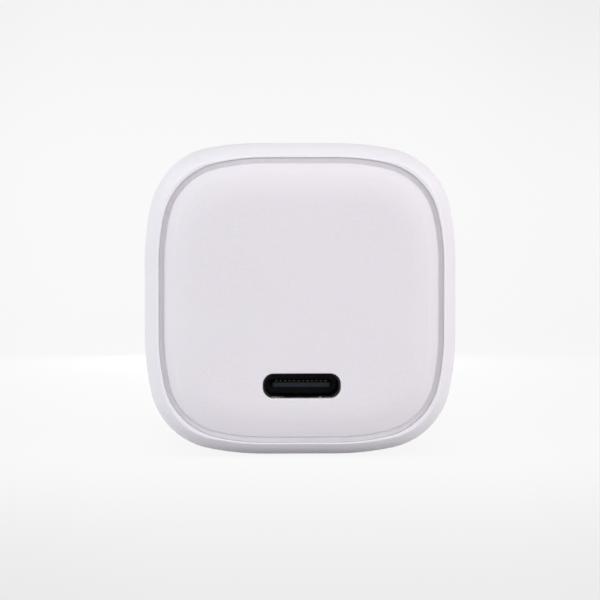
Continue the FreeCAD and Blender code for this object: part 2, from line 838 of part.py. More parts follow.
def make_rear_cover():
    """The wall side: a plate with a spigot, two wells for the folded blades, a window for their carriage
    with a cheek at each end, and a scoop for a fingertip."""
    body = new_body("RearCover")
    plate = front_sketch(body, "rear_plate", back)
    body_outline(plate)
    pad(body, plate, cell.rear_thickness)
    back_place = back.value
    round_edges(body, "rear_edge", cell.rear_edge_radius, lambda e: on_station(e, back_place))
    seam_place = seam.value
    round_edges(body, "rear_seam_edge", cell.seam_edge_radius, lambda e: on_station(e, seam_place))
    spigot = front_sketch(body, "rear_spigot", seam)
    body_outline(spigot, cell.shell_wall + cell.spigot_play)
    body_outline(spigot, cell.shell_wall + cell.spigot_play + cell.spigot_wall)
    pad(body, spigot, cell.spigot_length)

    slot_half = cell.blade_thickness / 2 + cell.blade_play
    slot_foot = hinge_level - blade_tip_drop - cell.blade_play
    window_foot = hinge_level - cell.barrel_radius - cell.window_foot_play
    window_head = hinge_level + cell.barrel_radius + cell.barrel_play
    well = front_sketch(body, "rear_well", seam)
    rectangle(well, -well_half, slot_foot - cell.well_wall, well_half, well_head)
    pad(body, well, cell.well_depth)
    fit = front_sketch(body, "rear_fit", seam)
    outer_frame(fit)
    body_outline(fit, cell.shell_wall + cell.spigot_play)
    pocket(body, fit, cell.well_depth + 1, "front")

    slots = front_sketch(body, "rear_slots", back)
    for side in (-1, 1):
        middle = cell.blade_pitch / 2 * side
        rectangle(slots, middle - slot_half, slot_foot, middle + slot_half, window_foot + 0.1)
    slot_depth = cell.barrel_sink + cell.barrel_radius + cell.blade_width / 2 + cell.blade_play
    pocket(body, slots, slot_depth, "front")
    window = front_sketch(body, "rear_window", back)
    rectangle(window, -window_half, window_foot, window_half, window_head)
    pocket(body, window, cell.rear_thickness + cell.well_depth + 1, "front")
    room = front_sketch(body, "rear_carriage_room", seam)
    rectangle(room, -window_half, hinge_level - tail_sweep, window_half, hinge_level + tail_sweep)
    pocket(body, room, cell.well_depth + 1, "front")
    scoop = front_sketch(body, "rear_scoop", back)
    scoop_width = cell.blade_pitch + cell.scoop_height
    stadium(scoop, scoop_width, cell.scoop_height, ZERO, hinge_level - cell.scoop_drop)
    pocket(body, scoop, cell.scoop_depth, "front")
    core = front_sketch(body, "rear_core", well_front)
    core_half = cell.blade_pitch / 2 - slot_half - cell.well_wall
    rectangle(core, -core_half, slot_foot, core_half, hinge_level - tail_sweep - cell.well_wall)
    core_depth = cell.well_depth + cell.rear_thickness - cell.scoop_depth - cell.well_wall
    pocket(body, core, core_depth, "back")
    saddles = side_sketch(body, "rear_saddles")
    saddle_radius = cell.journal_radius + cell.journal_play
    reach = cell.well_depth * 2
    stadium(saddles, reach * 2, saddle_radius * 2, saddle_radius - reach, ZERO)
    pocket(body, saddles, well_half * 2 + 1, "both")

    def scoop_edge(edge):
        return on_station(edge, back_place) and edge.BoundBox.ZMax < (half + window_foot).value - 0.05

    round_edges(body, "rear_mouth_edges", cell.rim_edge_radius, scoop_edge)
    return piece(body, "rear_cover")


def make_blade_carriage():
    """The moulded barrel that turns in the rear cover. Its foot is square, so that it closes the window
    when the blades stand out, and its middle has two flats for the detent spring."""
    body = new_body("BladeCarriage")
    radius = cell.barrel_radius
    corner = cell.barrel_corner_radius
    section = side_sketch(body, "carriage_section")
    r, c = radius.value, corner.value
    axis = FreeCAD.Vector(0, 0, 1)
    quarter = math.pi / 2
    loop = [
        Part.ArcOfCircle(Part.Circle(vector(0, 0), axis, r), 0, 2 * quarter),
        Part.LineSegment(vector(-r, 0), vector(-r, c - r)),
        Part.ArcOfCircle(Part.Circle(vector(c - r, c - r), axis, c), 2 * quarter, 3 * quarter),
        Part.LineSegment(vector(c - r, -r), vector(r - c, -r)),
        Part.ArcOfCircle(Part.Circle(vector(r - c, c - r), axis, c), 3 * quarter, 4 * quarter),
        Part.LineSegment(vector(r, c - r), vector(r, 0)),
    ]
    ids = [section.addGeometry(g) for g in loop]
    for i in range(6):
        section.addConstraint(Sketcher.Constraint("Tangent", ids[i], 2, ids[(i + 1) % 6], 1))
    section.addConstraint(Sketcher.Constraint("Coincident", ids[0], 3, -1, 1))
    section.addConstraint(Sketcher.Constraint("Equal", ids[2], ids[4]))
    section.addConstraint(Sketcher.Constraint("Horizontal", ids[3]))
    section.addConstraint(Sketcher.Constraint("Vertical", ids[1]))
    section.addConstraint(Sketcher.Constraint("Vertical", ids[5]))
    size_constraint(section, "Radius", radius, ids[0])
    size_constraint(section, "Radius", corner, ids[2])
    size_constraint(section, "DistanceY", -radius, ids[3], 1)
    pad(body, section, cell.barrel_half * 2, "both")
    journal = side_sketch(body, "carriage_journals")
    circle(journal, cell.journal_radius, ZERO, ZERO)
    pad(body, journal, cell.journal_half * 2, "both")
    flats = side_sketch(body, "carriage_detent_flats")
    depth = radius - cell.detent_flat_depth
    rectangle(flats, -radius * 2, -radius * 2, -depth, radius * 2)
    pocket(body, flats, cell.detent_half * 2, "both")
    top_flat = side_sketch(body, "carriage_top_flat")
    rectangle(top_flat, -radius * 2, depth, radius * 2, radius * 2)
    pocket(body, top_flat, cell.detent_half * 2, "both")
    slots = sketch_on(body, "carriage_blade_slots", "XY_Plane", hinge_z, 0, hinge_y)
    shank_half = cell.shank_width / 2
    for side in (-1, 1):
        middle = cell.blade_pitch / 2 * side
        thick = cell.blade_thickness / 2
        rectangle(slots, middle - thick, -shank_half, middle + thick, shank_half)
    pocket(body, slots, radius * 3, "both")
    return piece(body, "blade_carriage")


def make_blade(name, side):
    """A flat mains blade, folded down at rest, with a narrower shank through the barrel and a tail that
    meets the fixed contact when it stands out."""
    body = new_body(name.title().replace("_", ""))
    middle = cell.blade_pitch / 2 * side
    wide = cell.blade_width / 2
    shank = cell.shank_width / 2
    shank_top = cell.barrel_radius - cell.barrel_corner_radius / 2
    bar = side_sketch(body, name + "_bar", middle)
    rectangle(bar, -wide, -blade_tip_drop, wide, -cell.barrel_radius)
    pad(body, bar, cell.blade_thickness, "both")
    root_bar = side_sketch(body, name + "_shank", middle)
    rectangle(root_bar, -shank, -cell.barrel_radius, shank, shank_top)
    pad(body, root_bar, cell.blade_thickness, "both")
    tail = side_sketch(body, name + "_tail", middle)
    rectangle(tail, -cell.tail_width / 2, shank_top, cell.tail_width / 2, cell.tail_reach)
    pad(body, tail, cell.blade_thickness, "both")
    hole = side_sketch(body, name + "_hole", middle)
    hole_drop = cell.barrel_radius + cell.barrel_sink + cell.blade_hole_reach
    circle(hole, cell.blade_hole_radius, ZERO, -hole_drop)
    pocket(body, hole, cell.blade_thickness * 2, "both")
    tip = (hinge_z - blade_tip_drop).value

    def tip_corner(edge):
        box = edge.BoundBox
        return box.ZMax < tip + 1e-3 and box.YLength < 1e-4

    round_edges(body, name + "_tip", cell.blade_tip_chamfer, tip_corner, "PartDesign::Chamfer")
    top = (hinge_z - cell.barrel_radius).value - 1e-3

    def long_edge(edge):
        box = edge.BoundBox
        hole_edge = edge.Curve.TypeId == "Part::GeomCircle"
        return box.ZMin < top - 1 and box.ZMax < top + 2e-3 and box.XLength < 1e-4 and not hole_edge

    round_edges(body, name + "_edges", cell.blade_edge_chamfer, long_edge, "PartDesign::Chamfer")
    return piece(body, name)


def make_carriage_retainer():
    """The inner plate that closes the bearings: an arm with a cradle behind each journal."""
    body = new_body("CarriageRetainer")
    plate_back = well_front - cell.retainer_play
    plate = front_sketch(body, "retainer_plate", plate_back)
    rise = hinge_level
    rectangle(plate, -well_half, rise - tail_sweep, well_half, well_head)
    pad(body, plate, cell.retainer_thickness)
    fit = front_sketch(body, "retainer_fit", plate_back)
    outer_frame(fit)
    body_outline(fit, cell.shell_wall + cell.spigot_play)
    pocket(body, fit, cell.retainer_thickness + 1, "front")
    arms = front_sketch(body, "retainer_arms", plate_back)
    arm_half = cell.journal_radius
    arm_inner = window_half + cell.barrel_play / 2
    arm_outer = well_half - cell.barrel_play / 2
    rectangle(arms, -arm_outer, rise - arm_half, -arm_inner, rise + arm_half)
    rectangle(arms, arm_inner, rise - arm_half, arm_outer, rise + arm_half)
    pad(body, arms, hinge_y - plate_back, "back")
    cradle = side_sketch(body, "retainer_cradle")
    circle(cradle, cell.journal_radius + cell.journal_play, ZERO, ZERO)
    pocket(body, cradle, well_half * 2 + 1, "both")
    slots = front_sketch(body, "retainer_contact_slots", plate_back)
    for side in (-1, 1):
        middle = cell.blade_pitch / 2 * side
        wide = cell.contact_width / 2 + cell.tab_play
        low = rise + cell.contact_height / 2 - cell.spring_thickness - cell.tab_play
        high = rise + cell.contact_height / 2 + cell.tab_play
        rectangle(slots, middle - wide, low, middle + wide, high)
    pocket(body, slots, cell.retainer_thickness + 1, "front")
    return piece(body, "carriage_retainer")


def make_contacts():
    """Two sprung strips on the retainer's face; a tab of each goes through to the input board."""
    plate_back = well_front - cell.retainer_play
    thick = cell.spring_thickness
    for name, side in (("contact_left", -1), ("contact_right", 1)):
        x = cell.blade_pitch / 2 * side - cell.contact_width / 2
        z = hinge_z - cell.contact_height / 2
        strip = block(name + "_strip", x, plate_back, z, cell.contact_width, thick, cell.contact_height)
        tab_foot = z + cell.contact_height - thick
        tab_length = plate_back - input_board_front + cell.spring_thickness
        tab_front = plate_back - tab_length
        tab = block(name + "_tab", x, tab_front, tab_foot, cell.contact_width, tab_length, thick)
        piece(fuse(name + "_strip_and_tab", strip, tab), name)


def make_detent_spring():
    """A bowed leaf between the retainer and the barrel; it drops into a flat at each end of the travel."""
    body = new_body("DetentSpring")
    crown = cell.barrel_radius - cell.detent_flat_depth + cell.spring_gap
    foot = hinge_y - well_front + cell.retainer_play - cell.spring_thickness
    chord = cell.detent_spring_chord / 2
    sagitta = foot - crown
    bow = (chord * chord + sagitta * sagitta) / (sagitta * 2)
    section = side_sketch(body, "detent_section")
    b, t = bow.value, cell.spring_thickness.value
    middle = vector(-(crown.value + t / 2 + b) + t / 2, 0)
    spread = math.asin(chord.value / b)
    axis = FreeCAD.Vector(0, 0, 1)
    outer = Part.ArcOfCircle(Part.Circle(middle, axis, b), -spread, spread)
    inner = Part.ArcOfCircle(Part.Circle(middle, axis, b - t), -spread, spread)
    ends = [Part.LineSegment(inner.value(s), outer.value(s)) for s in (-spread, spread)]
    ids = [section.addGeometry(g) for g in (outer, inner, *ends)]
    for line, point in ((ids[2], 1), (ids[3], 2)):
        section.addConstraint(Sketcher.Constraint("Coincident", line, 1, ids[1], point))
        section.addConstraint(Sketcher.Constraint("Coincident", line, 2, ids[0], point))
        section.addConstraint(Sketcher.Constraint("PointOnObject", ids[0], 3, line))
    section.addConstraint(Sketcher.Constraint("Coincident", ids[0], 3, ids[1], 3))
    section.addConstraint(Sketcher.Constraint("PointOnObject", ids[0], 3, -1))
    section.addConstraint(Sketcher.Constraint("Symmetric", ids[0], 1, ids[0], 2, -1))
    size_constraint(section, "Radius", bow, ids[0])
    size_constraint(section, "Radius", bow - cell.spring_thickness, ids[1])
    size_constraint(section, "DistanceX", -(crown + bow), ids[0], 3)
    size_constraint(section, "DistanceY", chord, ids[0], 2)
    pad(body, section, cell.detent_spring_width, "both")
    return piece(body, "detent_spring")


def make_main_board():
    """The board that lies across the case on the sleeve's rails; its nose goes into the cover's skirt."""
    body = new_body("MainBoard")
    plan = sketch_on(body, "main_board_plan", "XY_Plane", board_bottom)
    rectangle(plan, -board_half, board_shoulder, board_half, board_rear)
    pad(body, plan, cell.board_thickness)
    nose = sketch_on(body, "main_board_nose", "XY_Plane", board_bottom)
    narrow = cell.board_nose_width / 2
    rectangle(nose, -narrow, board_shoulder - cell.board_nose_length, narrow, board_shoulder)
    pad(body, nose, cell.board_thickness)
    return piece(body, "main_board")


def make_input_board():
    """The upright board at the back of the case. It carries the mains parts and the blades' contacts."""
    body = new_body("InputBoard")
    wide = inside_half - cell.input_board_side_gap
    head = inside_half - cell.input_board_top_drop
    foot = board_top - centre_height
    upright = front_sketch(body, "input_board_outline", input_board_rear)
    rectangle(upright, -wide, foot, wide, head)
    pad(body, upright, cell.input_board_thickness)

    def top_corner(edge):
        return edge_along_depth(edge) and edge.BoundBox.ZMax > (head + centre_height).value - 1e-3

    round_edges(body, "input_board_corners", cell.input_board_top_drop * 2, top_corner)
    tabs = front_sketch(body, "input_board_tab_slots", input_board_rear)
    for side in (-1, 1):
        middle = cell.blade_pitch / 2 * side
        wide_tab = cell.contact_width / 2 + cell.tab_play
        high = hinge_level + cell.contact_height / 2
        low = high - cell.spring_thickness - cell.tab_play
        rectangle(tabs, middle - wide_tab, low, middle + wide_tab, high + cell.tab_play)
    pocket(body, tabs, cell.input_board_thickness * 2, "front")
    holes = front_sketch(body, "input_board_lead_holes", input_board_rear)
    for x, z in bulk_leads() + film_leads() + varistor_leads():
        circle(holes, cell.lead_radius + cell.lead_play, x, z - centre_height)
    pocket(body, holes, cell.input_board_thickness * 2, "front")
    return piece(body, "input_board")


def bulk_leads():
    """The x and z of each lead of the two long capacitors."""
    reach = cell.bulk_lead_spread / 2
    return [(x + reach * side, bulk_z) for x in (bulk_left_x, bulk_right_x) for side in (-1, 1)]


def film_leads():
    reach = cell.film_lead_spread / 2
    x = film_left + cell.film_width / 2
    return [(x, bulk_z - reach), (x, bulk_z + reach)]


def varistor_leads():
    reach = cell.varistor_lead_spread / 2
    return [(varistor_x, varistor_z - reach), (varistor_x, varistor_z + reach)]


def make_socket():
    """The reversible socket: a drawn metal shell, a moulded tongue, and its two rows of contacts."""
    shell = new_body("SocketShell")
    outside = sketch_on(shell, "socket_shell_outside", "XZ_Plane", socket_front, 0, cell.port_rise)
    stadium(outside, cell.socket_width, cell.socket_height, ZERO, ZERO)
    pad(shell, outside, cell.socket_length, "back")
    inside = sketch_on(shell, "socket_shell_inside", "XZ_Plane", socket_front, 0, cell.port_rise)
    inner_width = cell.socket_width - cell.socket_wall * 2
    inner_height = cell.socket_height - cell.socket_wall * 2
    stadium(inside, inner_width, inner_height, ZERO, ZERO)
    pocket(shell, inside, cell.socket_length)
    piece(shell, "socket_shell")

    tongue_front = socket_front + cell.tongue_setback
    root_front = tongue_front + cell.tongue_length
    moulding = new_body("SocketTongue")
    block_face = sketch_on(moulding, "tongue_root", "XZ_Plane", root_front, 0, cell.port_rise)
    stadium(
        block_face,
        inner_width - cell.tongue_play * 2,
        inner_height - cell.tongue_play * 2,
        ZERO,
        ZERO,
    )
    pad(moulding, block_face, socket_rear - root_front, "back")
    blade = sketch_on(moulding, "tongue_blade", "XZ_Plane", tongue_front, 0, cell.port_rise)
    wide = cell.tongue_width / 2
    thick = cell.tongue_thickness / 2
    rectangle(blade, -wide, -thick, wide, thick)
    pad(moulding, blade, cell.tongue_length, "back")
    front_place = tongue_front.value

    def nose_corner(edge):
        box = edge.BoundBox
        return on_station(edge, front_place) and box.ZLength > 1e-4

    round_edges(moulding, "tongue_nose", cell.tongue_thickness / 2 - 0.05, nose_corner)

    def nose_lip(edge):
        return on_station(edge, front_place) and edge.BoundBox.ZLength < 1e-4

    kind = "PartDesign::Chamfer"
    round_edges(moulding, "tongue_nose_lip", cell.tongue_nose_chamfer, nose_lip, kind)
    piece(moulding, "socket_tongue")

    strips = []
    start = root_front - cell.strip_length
    for row, foot in enumerate((thick, -thick - cell.strip_thickness)):
        for column in range(round(cell.strips_per_row.value)):
            step = column - (cell.strips_per_row - 1) / 2
            x = cell.strip_pitch * step - cell.strip_width / 2
            z = cell.port_rise + foot
            name = f"strip_{row}_{column}"
            size = (cell.strip_width, cell.strip_length, cell.strip_thickness)
            strips.append(block(name, x, start, z, *size))
    piece(group("contact_strips", strips), "socket_contacts")


def make_core_half(name, upper):
    """Half of the ferrite core: a plate with a leg at each side and a round post in the middle."""
    reach = core_height / 2 - cell.core_plate
    plate_foot = core_foot + core_height - cell.core_plate if upper else core_foot
    leg_foot = core_foot + core_height / 2 if upper else core_foot + cell.core_plate
    plate_size = (core_width, core_depth, cell.core_plate)
    plate = block(name + "_plate", core_left, core_front, plate_foot, *plate_size)
    legs = [
        block(f"{name}_leg_{i}", x, core_front, leg_foot, core_leg, core_depth, reach)
        for i, x in enumerate((core_left, core_right - core_leg))
    ]
    post = rod(name + "_post", post_radius, reach, core_x, core_y, leg_foot)
    piece(fuse(name + "_joined", plate, *legs, post), name)


def ring(name, inner, outer, length, x, y, z, along="Z"):
    outside = rod(name + "_outside", outer, length, x, y, z, along)
    inside = rod(name + "_inside", inner, length, x, y, z, along)
    return cut(name + "_ring", outside, inside)


def make_transformer():
    """The flat core with its bobbin, two windings with tape between them, and the tape round the core."""
    make_core_half("core_lower", False)
    make_core_half("core_upper", True)
    x, y = core_x, core_y
    foot = core_foot + cell.core_plate + cell.bobbin_play
    height = core_height - cell.core_plate * 2 - cell.bobbin_play * 2
    bore = post_radius + cell.bobbin_play
    barrel = bore + cell.bobbin_wall
    tube = rod("bobbin_tube", barrel, height, x, y, foot)
    flanges = [
        rod(f"bobbin_flange_{i}", flange_radius, cell.bobbin_wall, x, y, z)
        for i, z in enumerate((foot, foot + height - cell.bobbin_wall))
    ]
    reach = core_depth / 2 + cell.bobbin_play
    wide = cell.bobbin_leg_width
    thick = cell.bobbin_leg_thickness
    leg_size = (wide, thick, foot + cell.bobbin_wall - board_top)
    legs = [
        block(f"bobbin_leg_{i}", x - wide / 2, near, board_top, *leg_size)
        for i, near in enumerate((y - reach - thick, y + reach))
    ]
    arm_length = (reach + thick) * 2
    arm = block("bobbin_arm", x - wide / 2, y - arm_length / 2, foot, wide, arm_length, cell.bobbin_wall)
    solid = fuse("bobbin_solid", tube, *flanges, arm, *legs)
    piece(cut("bobbin_bored", solid, rod("bobbin_bore", bore, height, x, y, foot)), "bobbin")

    start = foot + cell.bobbin_wall
    winding_height = height - cell.bobbin_wall * 2
    radius = barrel + cell.winding_play
    layers = (
        ("primary_winding", cell.primary_build),
        ("winding_tape", cell.winding_tape_build),
        ("secondary_winding", cell.secondary_build),
    )
    for name, build in layers:
        piece(ring(name, radius, radius + build, winding_height, x, y, start), name)
        radius = radius + build + cell.winding_play

    near = y - cell.core_tape_width / 2
    thick = cell.core_tape_thickness
    size = (core_width + thick * 2, cell.core_tape_width, core_height + thick * 2)
    outside = block("core_tape_outside", core_left - thick, near, core_foot - thick, *size)
    size = (core_width, cell.core_tape_width, core_height)
    inside = block("core_tape_inside", core_left, near, core_foot, *size)
    piece(cut("core_tape_band", outside, inside), "core_tape")


def crimped_can(name, radius, length, x, y, z, along, seal_at_start):
    """An aluminium can with the crimp that holds its rubber seal."""
    can = rod(name + "_can", radius, length, x, y, z, along)
    torus = doc.addObject("Part::Torus", name + "_crimp")
    bind(torus, Radius1=radius + cell.crimp_radius - cell.crimp_depth, Radius2=cell.crimp_radius)
    torus.Placement.Rotation = ALONG[along]
    step = cell.crimp_place if seal_at_start else length - cell.crimp_place
    if along == "Y":
        place(torus, x, y + step, z)
    else:
        place(torus, x, y, z + step)
    return cut(name + "_crimped", can, torus)


def make_bulk_capacitors():
    """Two long cans that lie side by side under the roof, with their leads in the input board."""
    length = bulk_rear - cell.seal_thickness - bulk_front
    seals = []
    places = (("bulk_capacitor_left", bulk_left_x), ("bulk_capacitor_right", bulk_right_x))
    for name, x in places:
        piece(crimped_can(name, bulk_radius, length, x, bulk_front, bulk_z, "Y", False), name)
        seal_y = bulk_rear - cell.seal_thickness
        seal_radius = bulk_radius - cell.seal_inset
        seals.append(rod(name + "_seal", seal_radius, cell.seal_thickness, x, seal_y, bulk_z, "Y"))
    piece(group("both_bulk_seals", seals), "bulk_seals")
    leads = [
        rod(f"bulk_lead_{i}", cell.lead_radius, lead_end - bulk_rear, x, bulk_rear, z, "Y")
        for i, (x, z) in enumerate(bulk_leads())
    ]
    piece(group("four_bulk_leads", leads), "bulk_leads")


def make_film_capacitor():
    """The boxed film capacitor across the mains, beside the two cans."""
    near = bulk_rear - cell.film_length
    foot = bulk_z - cell.film_height / 2
    size = (cell.film_width, cell.film_length, cell.film_height)
    piece(block("film_box", film_left, near, foot, *size), "film_capacitor")
    leads = [
        rod(f"film_lead_{i}", cell.lead_radius, lead_end - bulk_rear, x, bulk_rear, z, "Y")
        for i, (x, z) in enumerate(film_leads())
    ]
    piece(group("two_film_leads", leads), "film_leads")


def make_output_capacitors():
    """Two small cans that stand on the main board beside the transformer."""
    foot = board_top + cell.seal_thickness
    seals = []
    places = (("output_capacitor_front", output_front_y), ("output_capacitor_rear", output_rear_y))
    for name, y in places:
        x = output_x
        piece(crimped_can(name, cell.output_radius, cell.output_height, x, y, foot, "Z", True), name)
        seal_radius = cell.output_radius - cell.seal_inset
        seals.append(rod(name + "_seal", seal_radius, cell.seal_thickness, x, y, board_top))
    piece(group("both_output_seals", seals), "output_seals")


def make_mains_discs():
    """The safety capacitor on the main board and the varistor on the input board, both flat discs."""
    x = disc_x
    near = input_board_front - cell.disc_board_gap - cell.disc_thickness
    disc = rod("safety_disc", cell.disc_radius, cell.disc_thickness, x, near, disc_z, "Y")
    piece(disc, "disc_capacitor")
    spread = cell.disc_lead_spread / 2
    inner = spread - cell.lead_radius
    underside = root(cell.disc_radius * cell.disc_radius - inner * inner)
    height = disc_z - underside - cell.lead_play - board_top
    y = near + cell.disc_thickness / 2
    leads = [
        rod(f"disc_lead_{side + 1}", cell.lead_radius, height, x + spread * side, y, board_top)
        for side in (-1, 1)
    ]
    piece(group("two_disc_leads", leads), "disc_leads")
    near = input_board_front - cell.varistor_gap - cell.varistor_thickness
    place_of = (varistor_x, near, varistor_z)
    disc = rod("varistor_disc", cell.varistor_radius, cell.varistor_thickness, *place_of, "Y")
    piece(disc, "varistor")
    start = near + cell.varistor_thickness
    leads = [
        rod(f"varistor_lead_{i}", cell.lead_radius, lead_end - start, x, start, z, "Y")
        for i, (x, z) in enumerate(varistor_leads())
    ]
    piece(group("two_varistor_leads", leads), "varistor_leads")


def make_choke():
    """The ring-shaped input choke: a ferrite ring, a winding on each side, and a moulded base."""
    outer = choke_outer
    bore = cell.choke_bore_radius - cell.choke_winding_build
    x = choke_x
    z = board_top + cell.choke_base_floor + cell.winding_play + outer
    near = choke_y - cell.choke_length / 2
    radii = (cell.choke_bore_radius, cell.choke_radius)
    piece(ring("choke_core", *radii, cell.choke_length, x, near, z, "Y"), "choke_core")
    wound_length = cell.choke_length + cell.choke_winding_build * 2
    wound_near = choke_y - wound_length / 2
    play = cell.winding_play
    inner_radii = (cell.choke_bore_radius - play, cell.choke_radius + play)
    for name, side in (("choke_winding_left", -1), ("choke_winding_right", 1)):
        wound = ring(name, bore, outer, wound_length, x, wound_near, z, "Y")
        hollow = ring(name + "_core", *inner_radii, cell.choke_length + play * 2, x, near - play, z, "Y")
        sleeve_ring = cut(name + "_hollow", wound, hollow)
        left = x + cell.choke_gap / 2 if side > 0 else x - cell.choke_gap / 2 - outer
        half_box = block(name + "_half", left, wound_near, z - outer, outer, wound_length, outer * 2)
        piece(common(name + "_sector", sleeve_ring, half_box), name)
    base_size = (outer * 1.5, wound_length, cell.choke_base_height)
    base = block("choke_base_block", x - outer * 0.75, wound_near, board_top, *base_size)
    bed = rod("choke_base_bed", outer + play, wound_length, x, wound_near, z, "Y")
    piece(cut("choke_base_cradle", base, bed), "choke_base")


def make_board_parts():
    """Fuse, rectifiers, chips and small parts, and what carries their heat to the sleeve's floor."""
    size = (fuse_right - fuse_left, cell.fuse_depth, fuse_top - board_top)
    piece(block("fuse_box", fuse_left, fuse_front, board_top, *size), "fuse")
    side = cell.bridge_size
    foot = board_top + cell.bridge_rise
    size = (side, cell.bridge_thickness, side)
    piece(block("bridge_body", -side / 2, input_board_rear, foot, *size), "bridge_rectifier")

    def chip(name, x, y, width, length, height, top=False):
        z = board_top if top else board_bottom - height
        size = (width, length, height)
        piece(block(name + "_body", x - width / 2, y - length / 2, z, *size), name)

    switch_x = cell.switch_centre_x
    chip("power_switch", switch_x, switch_y, cell.switch_size, cell.switch_size, cell.chip_thickness)
    width, length = cell.rectifier_width, cell.rectifier_length
    chip("output_rectifier", ZERO, rectifier_y, width, length, cell.chip_thickness)
    place_of = (cell.controller_centre_x, controller_y)
    chip("controller", *place_of, cell.controller_size, cell.controller_size, cell.chip_thickness)
    size = (cell.coupler_width, cell.coupler_length, cell.coupler_height)
    chip("optocoupler", cell.coupler_centre_x, controller_y, *size)
    side = cell.protocol_size
    chip_y = board_shoulder + cell.protocol_gap + side / 2
    chip("protocol_chip", cell.protocol_centre_x, chip_y, side, side, cell.chip_thickness, True)

    pads = []
    spots = (
        (switch_x, switch_y, cell.switch_size, cell.switch_size),
        (ZERO, rectifier_y, cell.rectifier_width, cell.rectifier_length),
    )
    for i, (x, y, width, length) in enumerate(spots):
        size = (width, length, cell.pad_thickness)
        pads.append(block(f"pad_{i}", x - width / 2, y - length / 2, spreader_top, *size))
    piece(group("both_pads", pads), "thermal_pads")
    size = (cell.spreader_width, spreader_length, cell.spreader_thickness)
    plate = block("spreader_plate", -cell.spreader_width / 2, spreader_front, spreader_foot, *size)
    piece(plate, "heat_spreader")
    margin = cell.sheet_margin
    sheet_size = (cell.spreader_width + margin * 2, spreader_length + margin * 2, cell.sheet_thickness)
    left = -cell.spreader_width / 2 - margin
    sheet_foot = spreader_foot - cell.sheet_thickness
    film = block("film_sheet", left, spreader_front - margin, sheet_foot, *sheet_size)
    piece(film, "insulating_sheet")

    size = (cell.small_part_width, cell.small_part_length, cell.small_part_height)
    smalls = []
    for side in (-1, 1):
        x = cell.small_column_x * side - cell.small_part_width / 2
        for i in range(6):
            y = spreader_front + cell.small_part_pitch * i
            foot = board_bottom - cell.small_part_height
            smalls.append(block(f"small_part_{side + 1}_{i}", x, y, foot, *size))
    piece(group("small_part_columns", smalls), "small_parts")

    pins = []
    size = (cell.board_pin_width, cell.board_pin_width, cell.board_pin_height)
    for i, step in enumerate((-1.5, -0.5, 0.5, 1.5)):
        x = cell.board_pin_pitch * step - cell.board_pin_width / 2
        pins.append(block(f"board_pin_{i}", x, input_board_rear, board_top, *size))
    piece(group("four_board_pins", pins), "board_pins")


makers = [
    make_sleeve,
    make_front_cover,
    make_rear_cover,
    make_blade_carriage,
    lambda: make_blade("blade_left", -1),
    lambda: make_blade("blade_right", 1),
    make_carriage_retainer,
    make_contacts,
    make_detent_spring,
    make_main_board,
    make_input_board,
    make_socket,
    make_transformer,
    make_bulk_capacitors,
    make_film_capacitor,
    make_output_capacitors,
    make_mains_discs,
    make_choke,
    make_board_parts,
]
for make in makers:
    make()

doc.recompute()
os.makedirs("parts", exist_ok=True)
failed = [o.Name for o in doc.Objects if {"Invalid", "Error"} & set(o.State)]
if failed:
    raise RuntimeError(f"these objects failed: {failed}")
for thing in parts:
    shape = thing.Shape
    if shape.isNull() or not shape.isValid() or not shape.Solids:
        raise RuntimeError(f"{thing.Label} has no valid solid")
for thing in parts:
    thing.Shape.exportStep(f"parts/{thing.Label}.step")
    box = thing.Shape.BoundBox
    print(
        f"{thing.Label}: {len(thing.Shape.Solids)} solids, {thing.Shape.Volume:.1f} mm3, "
        f"x {box.XMin:.2f}..{box.XMax:.2f}, y {box.YMin:.2f}..{box.YMax:.2f}, "
        f"z {box.ZMin:.2f}..{box.ZMax:.2f}"
    )
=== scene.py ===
import math

import bpy
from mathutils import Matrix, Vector


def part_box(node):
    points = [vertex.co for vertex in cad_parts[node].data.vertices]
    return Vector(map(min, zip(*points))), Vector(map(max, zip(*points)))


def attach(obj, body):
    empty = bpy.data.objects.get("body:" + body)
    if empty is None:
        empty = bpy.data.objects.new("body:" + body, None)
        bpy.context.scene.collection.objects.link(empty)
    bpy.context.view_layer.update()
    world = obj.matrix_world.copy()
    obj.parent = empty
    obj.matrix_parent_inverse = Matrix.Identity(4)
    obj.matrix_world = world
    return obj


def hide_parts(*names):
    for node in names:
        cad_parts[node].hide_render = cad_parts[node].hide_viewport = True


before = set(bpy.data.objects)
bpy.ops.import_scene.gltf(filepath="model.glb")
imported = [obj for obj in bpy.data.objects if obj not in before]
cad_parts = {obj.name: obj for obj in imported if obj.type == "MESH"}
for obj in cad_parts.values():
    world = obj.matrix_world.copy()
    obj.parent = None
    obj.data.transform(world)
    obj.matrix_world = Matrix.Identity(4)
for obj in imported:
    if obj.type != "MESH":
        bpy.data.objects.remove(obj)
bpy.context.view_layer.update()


# Main board

# The board that lies across the case on the sleeve's rails. It is glass-fibre laminate with copper on
# both sides under a green solder mask; its edges are routed and show the bare laminate.


class Reading:
    """A number read over a surface. Python's own signs between two of them add the Math nodes."""

    def __init__(self, tree, socket):
        self.tree = tree
        self.socket = socket

    def maths(self, operation, *values):
        return self.tree.node("ShaderNodeMath", {"operation": operation}, dict(enumerate(values)))

    def __add__(self, other):
        return self.maths("ADD", self, other)

    def __sub__(self, other):
        return self.maths("SUBTRACT", self, other)

    def __rsub__(self, other):
        return self.maths("SUBTRACT", other, self)

    def __mul__(self, other):
        return self.maths("MULTIPLY", self, other)

    def __truediv__(self, other):
        return self.maths("DIVIDE", self, other)

    def __abs__(self):
        return self.maths("ABSOLUTE", self)

    __radd__ = __add__
    __rmul__ = __mul__

    def between(self, low, high):
        """0 at low and 1 at high, with an easy rise from one to the other."""
        settings = {"interpolation_type": "SMOOTHSTEP"}
        values = {"Value": self, "From Min": low, "From Max": high}
        return self.tree.node("ShaderNodeMapRange", settings, values)


